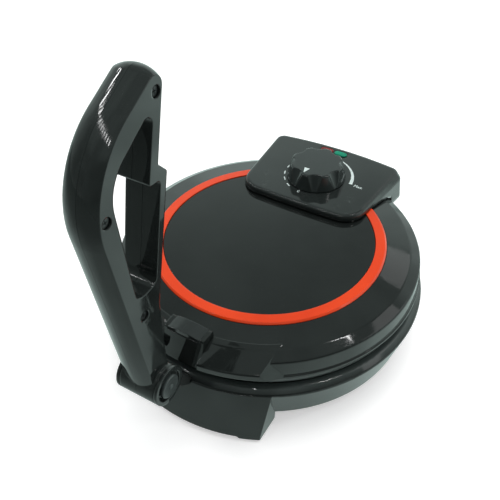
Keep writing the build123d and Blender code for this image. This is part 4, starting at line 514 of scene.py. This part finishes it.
set_screws(
    "press_block_fixings", "press_block_screws", "lid", zinc_plate,
    shank("press_block_screws"), HEAD_DOWN,
    [(x, BLOCK_SCREW_Y, seat("press_block_screws")) for x in BLOCK_SCREW_XS],
)
handle_seat_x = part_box("handle_screws")[1].x - HEAD_HEIGHT
set_screws(
    "handle_fixings", "handle_screws", "handle", black_oxide,
    shank("handle_screws", "x"), HEAD_TO_RIGHT,
    [(handle_seat_x, y, z) for y, z in HANDLE_SCREW_YZS],
)
# the screws inside the lid stay plain, as drawn
for node in ("upper_plate_screws", "control_screws"):
    dress(node, zinc_plate)


# ---- handle bracket, pins --------------------------------------------------
# The die-cast arm that carries the handle is powder coated satin black.  The
# hinge pin, the pivot pin and the thermostat's spindle are ground steel.
powder_coat = grained_plastic(
    "bracket_powder_coat", (0.018, 0.019, 0.019), (0.026, 0.027, 0.027),
    roughness=0.36, grain_scale=800.0, grain_depth=0.0001,
)
dress("handle_bracket", powder_coat)
pin_steel = worked_steel(
    "pin_steel", (0.66, 0.66, 0.65), (0.52, 0.52, 0.50),
    smooth=0.16, rough=0.3, grain_scale=(1400, 60, 60), grain=0.12,
)
for node in ("hinge_pin", "handle_pivot_pin", "thermostat_spindle"):
    dress(node, pin_steel)


# ---- lid -------------------------------------------------------------------
# The lid shell is moulded like the base.  The press block on its front edge is
# a separate glossy saddle with a hard rubber pad, which the handle's cam meets.
# the lid's skirt band in the gap gets the same painted sheen, a paler tone for reflected light
lid_black = moulded_plastic(
    "lid_gloss_black", *GLOSS_BLACK, polish=0.03, dull=0.12, ripple=0.07, edge=0.0011,
    ledge=(0.0630, 0.0640, 0.0728),
)
dress("lid_shell", lid_black)
block_black = moulded_plastic(
    "block_gloss_black", *GLOSS_BLACK, polish=0.03, dull=0.10, ripple=0.14, edge=0.0010
)
dress("press_block", block_black)
press_rubber = moulded_plastic(
    "press_pad_rubber", (0.012, 0.014, 0.014), (0.020, 0.023, 0.023),
    polish=0.08, dull=0.2, ripple=0.6, edge=0.0006,
)
dress("press_pad", press_rubber)


# ---- trim ring and centre panel --------------------------------------------
# Orange-red ring moulded in gloss ABS, glued in a seat around the lid's top, and
# the polished black centre panel inside it.  The panel is left bare.
ring_orange = moulded_plastic(
    "ring_orange", (0.72, 0.042, 0.004), (0.82, 0.056, 0.007),
    polish=0.08, dull=0.18, ripple=0.06, edge=0.0008,
)
dress("trim_ring", ring_orange)
panel_black = moulded_plastic(
    "panel_polished_black", (0.007, 0.0082, 0.008), (0.011, 0.0128, 0.0122),
    polish=0.03, dull=0.14, ripple=0.05, edge=0.0006,
)
dress("lid_centre_panel", panel_black)


# ---- control housing -------------------------------------------------------
# The shell over the thermostat and the floor that is screwed into it, in gloss
# black with softly rounded edges.  The cord gland at its rear is rubber.
housing_black = moulded_plastic(
    "housing_gloss", (0.012, 0.0142, 0.0138), (0.017, 0.0202, 0.0196),
    polish=0.035, dull=0.10, ripple=0.06, edge=0.0045,
)
dress("control_cover_bottom", housing_black)
dress("control_cover_top", housing_black)
dress("cord_gland", pad_rubber)


# ---- dial print ------------------------------------------------------------
# White pad printing around the knob: a 0 at the front, dashes up the left side,
# a wedge that widens clockwise and the word Max at its end.
INK_THICKNESS = 0.00008
INK_SPREAD = 0.02            # how far the ink swells a letter, by its height
DIAL_R = 0.0368
ZERO_HEIGHT = 0.0052
ZERO_PLACE = (-0.0040, -0.0345)   # from the knob's axis, as MAX_PLACE is
MAX_HEIGHT = 0.0056
MAX_PLACE = (0.0480, 0.0032)
DASH_R = DIAL_R - 0.002
DASH_SIZE = (0.0013, 0.0056, 1)
DASH_ROUNDING = 0.0004
DASH_ANGLES = (178, 199, 217, 237)
WEDGE_OUTER_R = DIAL_R + 0.0042
WEDGE_INNER_R = DIAL_R + 0.0022
WEDGE_SHIFT = (-0.0020, 0.0018)   # the inner circle's centre, which widens the wedge
WEDGE_ANGLES = (6, 74)
WEDGE_STEPS = 160

white_ink, tree, surface, here = start_finish("white_ink")
surface.inputs["Roughness"].default_value = 0.45
cover = clouds(tree, here, scale=900.0, detail=3.0)
ink = two_tones(tree, cover, low=0.3, dark=(0.50, 0.56, 0.55), high=0.6, pale=(0.70, 0.76, 0.75))
tree.links.new(ink, surface.inputs["Base Color"])

knob_low, knob_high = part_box("knob")
dial_x = (knob_low.x + knob_high.x) / 2
dial_y = (knob_low.y + knob_high.y) / 2
print_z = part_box("control_cover_top")[1].z
dial_centre = Vector((dial_x, dial_y, print_z))


def settle_print(piece):
    """Turn a flat outline into a film of ink."""
    take_up(piece)
    film = piece.modifiers.new("film", "SOLIDIFY")
    film.thickness = INK_THICKNESS
    film.offset = 1.0
    bpy.ops.object.modifier_apply(modifier=film.name)
    piece.data.materials.clear()
    piece.data.materials.append(white_ink)


def print_word(name, word, height, place):
    """Set a word in ink with its middle at a place on the dial."""
    drop_selection()
    bpy.ops.object.text_add(location=(0, 0, 0))
    letters = bpy.context.object
    letters.name = name
    letters.data.body = word
    letters.data.size = height
    letters.data.align_x = "CENTER"
    letters.data.align_y = "CENTER"
    letters.data.offset = height * INK_SPREAD
    bpy.ops.object.convert(target="MESH")
    letters.location = (dial_x + place[0], dial_y + place[1], print_z)
    bpy.ops.object.transform_apply(location=True)
    return letters


marks = [
    print_word("dial_zero", "0", ZERO_HEIGHT, ZERO_PLACE),
    print_word("dial_max", "Max", MAX_HEIGHT, MAX_PLACE),
]

# dashes, copies of one short strip with rounded corners
drop_selection()
bpy.ops.mesh.primitive_plane_add(size=1, location=(0, 0, 0))
strip = bpy.context.object
strip.scale = DASH_SIZE
bpy.ops.object.transform_apply(scale=True)
bpy.ops.object.mode_set(mode="EDIT")
bpy.ops.mesh.bevel(offset=DASH_ROUNDING, segments=3, affect="VERTICES")
bpy.ops.object.mode_set(mode="OBJECT")
for number, angle in enumerate(DASH_ANGLES):
    at = radians(angle)
    place = (dial_x + DASH_R * cos(at), dial_y + DASH_R * sin(at), print_z)
    dash = lay_copy(strip, place, (0, 0, at))
    dash.name = f"dial_dash_{number}"
    take_up(dash)
    bpy.ops.object.transform_apply(location=True, rotation=True)
    marks.append(dash)
bpy.data.objects.remove(strip)

# the wedge lies between two circles whose centres are apart, cut off at its ends
drop_selection()
bpy.ops.mesh.primitive_circle_add(
    vertices=WEDGE_STEPS, radius=WEDGE_OUTER_R, fill_type="NOTHING", location=dial_centre
)
wedge = bpy.context.object
wedge.name = "dial_wedge"
bpy.ops.object.transform_apply(location=True)
bpy.ops.object.mode_set(mode="EDIT")
bpy.ops.mesh.primitive_circle_add(
    vertices=WEDGE_STEPS, radius=WEDGE_INNER_R, fill_type="NOTHING",
    location=dial_centre + Vector((*WEDGE_SHIFT, 0)),
)
bpy.ops.mesh.select_all(action="SELECT")
bpy.ops.mesh.bridge_edge_loops()
for angle, at_start in zip(WEDGE_ANGLES, (True, False)):
    across = (-sin(radians(angle)), cos(radians(angle)), 0)
    bpy.ops.mesh.select_all(action="SELECT")
    bpy.ops.mesh.bisect(
        plane_co=dial_centre, plane_no=across, clear_inner=at_start, clear_outer=not at_start
    )
bpy.ops.object.mode_set(mode="OBJECT")
marks.append(wedge)

for mark in marks:
    settle_print(mark)
    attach(mark, "lid")


# ---- lamps -----------------------------------------------------------------
# Two rounded lenses of translucent acrylic, red for power and green for ready,
# each with a neon lamp behind it that is not lit here.
def lamp_acrylic(name, deep, light):
    """Tinted lens: colour deepens in clouds, a little light passes through."""
    finish, tree, surface, here = start_finish(name)
    surface.inputs["IOR"].default_value = 1.49
    surface.inputs["Subsurface Weight"].default_value = 0.15
    surface.inputs["Subsurface Scale"].default_value = 0.002
    surface.inputs["Specular IOR Level"].default_value = 0.2
    cloud = clouds(tree, here, scale=190.0, detail=3.0)
    tint = two_tones(tree, cloud, low=0.35, dark=deep, high=0.7, pale=light)
    tree.links.new(tint, surface.inputs["Base Color"])
    gloss = spread(tree, cloud, low=0.0, high=1.0, start=0.08, end=0.2)
    tree.links.new(gloss, surface.inputs["Roughness"])
    return finish


dress("lamp_red", lamp_acrylic("lens_red", (0.12, 0.008, 0.008), (0.26, 0.022, 0.020)))
dress("lamp_green", lamp_acrylic("lens_green", (0.001, 0.11, 0.065), (0.003, 0.26, 0.15)))


# ---- knob ------------------------------------------------------------------
# Semi-gloss moulded knob with eight grip hollows, and a white triangle printed
# on its top as the pointer.
POINTER_R = 0.0036
POINTER_STRETCH = (1.0, 1.6, 1)
POINTER_ROUNDING = 0.0002
POINTER_PLACE = (-0.0036, -0.0184)   # from the knob's axis

knob_black = moulded_plastic(
    "knob_semi_gloss", (0.016, 0.0192, 0.019), (0.022, 0.0265, 0.0262),
    polish=0.10, dull=0.22, ripple=0.08, edge=0.0018,
)
dress("knob", knob_black)
drop_selection()
bpy.ops.mesh.primitive_circle_add(
    vertices=3, radius=POINTER_R, fill_type="NGON", rotation=(0, 0, pi),
    location=(dial_x + POINTER_PLACE[0], dial_y + POINTER_PLACE[1], knob_high.z),
)
pointer = bpy.context.object
pointer.name = "knob_pointer"
pointer.scale = POINTER_STRETCH
bpy.ops.object.transform_apply(location=True, rotation=True, scale=True)
bpy.ops.object.mode_set(mode="EDIT")
bpy.ops.mesh.select_all(action="SELECT")
bpy.ops.mesh.bevel(offset=POINTER_ROUNDING, segments=3, affect="VERTICES")
settle_print(pointer)
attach(pointer, "knob")


# ---- handle ----------------------------------------------------------------
# Two gloss black shells screwed together on the centre line, where the parting
# line shows, with the nylon cam between them and grey caps over the pivot pin.
handle_black = moulded_plastic(
    "handle_gloss_black", (0.011, 0.013, 0.0126), (0.016, 0.019, 0.0183),
    polish=0.03, dull=0.12, ripple=0.08, edge=0.0014, seam=True,
)
dress("handle_left_shell", handle_black)
dress("handle_right_shell", handle_black)
cam_nylon = grained_plastic(
    "cam_nylon", (0.02, 0.02, 0.02), (0.03, 0.03, 0.03),
    roughness=0.4, grain_scale=700.0, grain_depth=0.00008,
)
dress("press_cam", cam_nylon)
cap_grey = moulded_plastic(
    "cap_dark_grey", (0.028, 0.034, 0.034), (0.038, 0.045, 0.045),
    polish=0.16, dull=0.28, ripple=0.1, edge=0.0005,
)
dress("pivot_caps", cap_grey)


# ---- table and backdrop ----------------------------------------------------
# A plain white table top that runs out to a white surround.  It takes only the
# soft shadow of the maker.  In reflections it is painted darker toward the front,
# in patches: painted shade for the light that falls off there.
TABLE_SIZE = 60
TABLE_TONE = (0.82, 0.797, 0.804)
TABLE_GLOW = 0.56                      # what the table adds to the light on it
# painted shade: the table's tone as seen in reflections, dark at the front and pale at the rear
MIRRORED_FRONT = (0.13, 0.152, 0.145)
MIRRORED_REAR = (0.68, 0.81, 0.775)
MIRRORED_FRONT_Y = -0.80
MIRRORED_REAR_Y = 0.50

drop_selection()
bpy.ops.mesh.primitive_plane_add(size=TABLE_SIZE, location=(0, 0, 0))
table_top = bpy.context.object
table_top.name = "table_top"
paper = bpy.data.materials.new("white_table")
paper.use_nodes = True
tree = paper.node_tree
tree.nodes.remove(tree.nodes["Principled BSDF"])
here = tree.nodes.new("ShaderNodeTexCoord").outputs["Object"]
axes = tree.nodes.new("ShaderNodeSeparateXYZ")
tree.links.new(here, axes.inputs["Vector"])
painted_falloff = spread(tree, axes.outputs["Y"], MIRRORED_FRONT_Y, MIRRORED_REAR_Y, smooth=True)
mottle = clouds(tree, here, scale=4.0, detail=3.0)
uneven = spread(tree, mottle, low=0.35, high=0.65, start=0.6, end=1.4)
patchy = combine(tree, "MULTIPLY", painted_falloff, uneven)
mirrored = lay_over(tree, patchy, MIRRORED_FRONT, MIRRORED_REAR)
rays = tree.nodes.new("ShaderNodeLightPath")
tone = lay_over(tree, rays.outputs["Is Glossy Ray"], TABLE_TONE, mirrored)
matt = tree.nodes.new("ShaderNodeBsdfDiffuse")
glow = tree.nodes.new("ShaderNodeEmission")
tree.links.new(tone, matt.inputs["Color"])
tree.links.new(tone, glow.inputs["Color"])
seen = combine(tree, "MAXIMUM", rays.outputs["Is Camera Ray"], rays.outputs["Is Glossy Ray"])
seen = combine(tree, "MAXIMUM", seen, rays.outputs["Is Transmission Ray"])
share = spread(tree, seen, low=0.0, high=1.0, end=TABLE_GLOW)
tree.links.new(share, glow.inputs["Strength"])
whiten = tree.nodes.new("ShaderNodeAddShader")
tree.links.new(matt.outputs["BSDF"], whiten.inputs[0])
tree.links.new(glow.outputs["Emission"], whiten.inputs[1])
tree.links.new(whiten.outputs["Shader"], tree.nodes["Material Output"].inputs["Surface"])
table_top.data.materials.append(paper)


# ---- studio light ----------------------------------------------------------
# A room that is bright behind the maker, dim overhead and dark in front, with a
# fitting and a row of lamps on the ceiling, a window and a wide lamp overhead.
ROOM_TINT = (0.84, 1.0, 0.955, 1)
FRONT_LEVEL = 0.24
REAR_LEVEL = 1.05
CEILING_LEVEL = 0.40
ONLOOKER_WAY = (0.46, -0.86, 0.2)   # where somebody stands and darkens the room
ONLOOKER_LEVEL = 0.5

studio = bpy.data.worlds.new("studio_room")
bpy.context.scene.world = studio
studio.use_nodes = True
tree = studio.node_tree
toward = tree.nodes.new("ShaderNodeTexCoord").outputs["Generated"]
axes = tree.nodes.new("ShaderNodeSeparateXYZ")
tree.links.new(toward, axes.inputs["Vector"])
walls = spread(
    tree, axes.outputs["Y"], low=-0.55, high=0.80, start=FRONT_LEVEL, end=REAR_LEVEL, smooth=True
)
onlooker = tree.nodes.new("ShaderNodeVectorMath")
onlooker.operation = "DOT_PRODUCT"
onlooker.inputs[1].default_value = ONLOOKER_WAY
tree.links.new(toward, onlooker.inputs[0])
shadowed = spread(
    tree, onlooker.outputs["Value"], low=0.70, high=0.96, start=1.0, end=ONLOOKER_LEVEL, smooth=True
)
height = spread(tree, axes.outputs["Z"], low=0.50, high=0.70, smooth=True)
level = tree.nodes.new("ShaderNodeMix")
level.inputs["B"].default_value = CEILING_LEVEL
tree.links.new(height, level.inputs["Factor"])
tree.links.new(combine(tree, "MULTIPLY", walls, shadowed), level.inputs["A"])
clutter = clouds(tree, toward, scale=3.2, detail=4.0)
patchy = spread(tree, clutter, low=0.35, high=0.65, start=0.72, end=1.28)
room = tree.nodes["Background"]
room.inputs["Color"].default_value = ROOM_TINT
strength = combine(tree, "MULTIPLY", level.outputs["Result"], patchy)
tree.links.new(strength, room.inputs["Strength"])
white = tree.nodes.new("ShaderNodeBackground")
white.inputs["Color"].default_value = (1, 1, 1, 1)
rays = tree.nodes.new("ShaderNodeLightPath")
clear = combine(
    tree, "MAXIMUM", rays.outputs["Is Camera Ray"], rays.outputs["Is Transmission Ray"]
)
swap = tree.nodes.new("ShaderNodeMixShader")
tree.links.new(clear, swap.inputs["Fac"])
tree.links.new(room.outputs["Background"], swap.inputs[1])
tree.links.new(white.outputs["Background"], swap.inputs[2])
tree.links.new(swap.outputs["Shader"], tree.nodes["World Output"].inputs["Surface"])

AIM = Vector((0, 0, 0.1))


def hang_lamp(name, way, distance, width, length, power, mirrored=True):
    """A flat lamp that shines at the maker from the given direction."""
    drop_selection()
    toward_lamp = Vector(way).normalized()
    bpy.ops.object.light_add(type="AREA", location=AIM + toward_lamp * distance)
    lamp = bpy.context.object
    lamp.name = name
    lamp.rotation_euler = toward_lamp.to_track_quat("Z", "Y").to_euler()
    lamp.data.shape = "RECTANGLE"
    lamp.data.size = width
    lamp.data.size_y = length
    lamp.data.energy = power
    lamp.visible_glossy = mirrored


# a ceiling fitting at the right: bright tubes behind a louvre
TUBES = 7
TUBE_STEP = 0.021
for tube in range(TUBES):
    shift = (tube - TUBES // 2) * TUBE_STEP
    hang_lamp(
        f"right_tube_{tube}", way=(0.48 + shift, 0.10 + shift * 0.4, 0.87),
        distance=2.0, width=0.022, length=0.19, power=0.42,
    )
# a row of small lamps that bends over the front left: left, middle and right end
ROW = (Vector((-0.80, 0.06, 0.60)), Vector((-0.52, -0.42, 0.86)), Vector((0.22, -0.60, 0.77)))
ROW_LAMPS = 15
for number in range(ROW_LAMPS):
    t = number / (ROW_LAMPS - 1)
    way = ROW[0] * (1 - t) ** 2 + ROW[1] * 2 * t * (1 - t) + ROW[2] * t ** 2
    hang_lamp(f"row_lamp_{number}", way, distance=2.0, width=0.045, length=0.15, power=0.55)
hang_lamp("window", (0.74, 0.30, 0.60), distance=2.2, width=1.3, length=0.8, power=3.4)
hang_lamp("rear_box", (0.10, 0.76, 0.64), distance=2.2, width=0.50, length=0.40, power=0.6)
hang_lamp(
    "overhead_lamp", (0.05, 0.25, 0.97),
    distance=2.6, width=1.8, length=1.8, power=36.0, mirrored=False,
)


# ---- camera ----------------------------------------------------------------
# It stands at the front right and looks down on the lid.  Its frame is shifted
# a little, so that the handle and the base both keep clear of the border.
CAMERA_PLACE = (0.24573, -0.42334, 0.53283)
CAMERA_DEGREES = (47.9146, 0.6554, 30.1872)

bpy.ops.object.camera_add(
    location=CAMERA_PLACE, rotation=[radians(angle) for angle in CAMERA_DEGREES]
)
camera = bpy.context.object
camera.name = "camera"
camera.data.sensor_width = 36.0
camera.data.lens = 46.8
camera.data.shift_x = -0.0277
camera.data.shift_y = -0.0082
camera.data.clip_start = 0.01
bpy.context.scene.camera = camera
bpy.context.scene.view_settings.view_transform = "Standard"
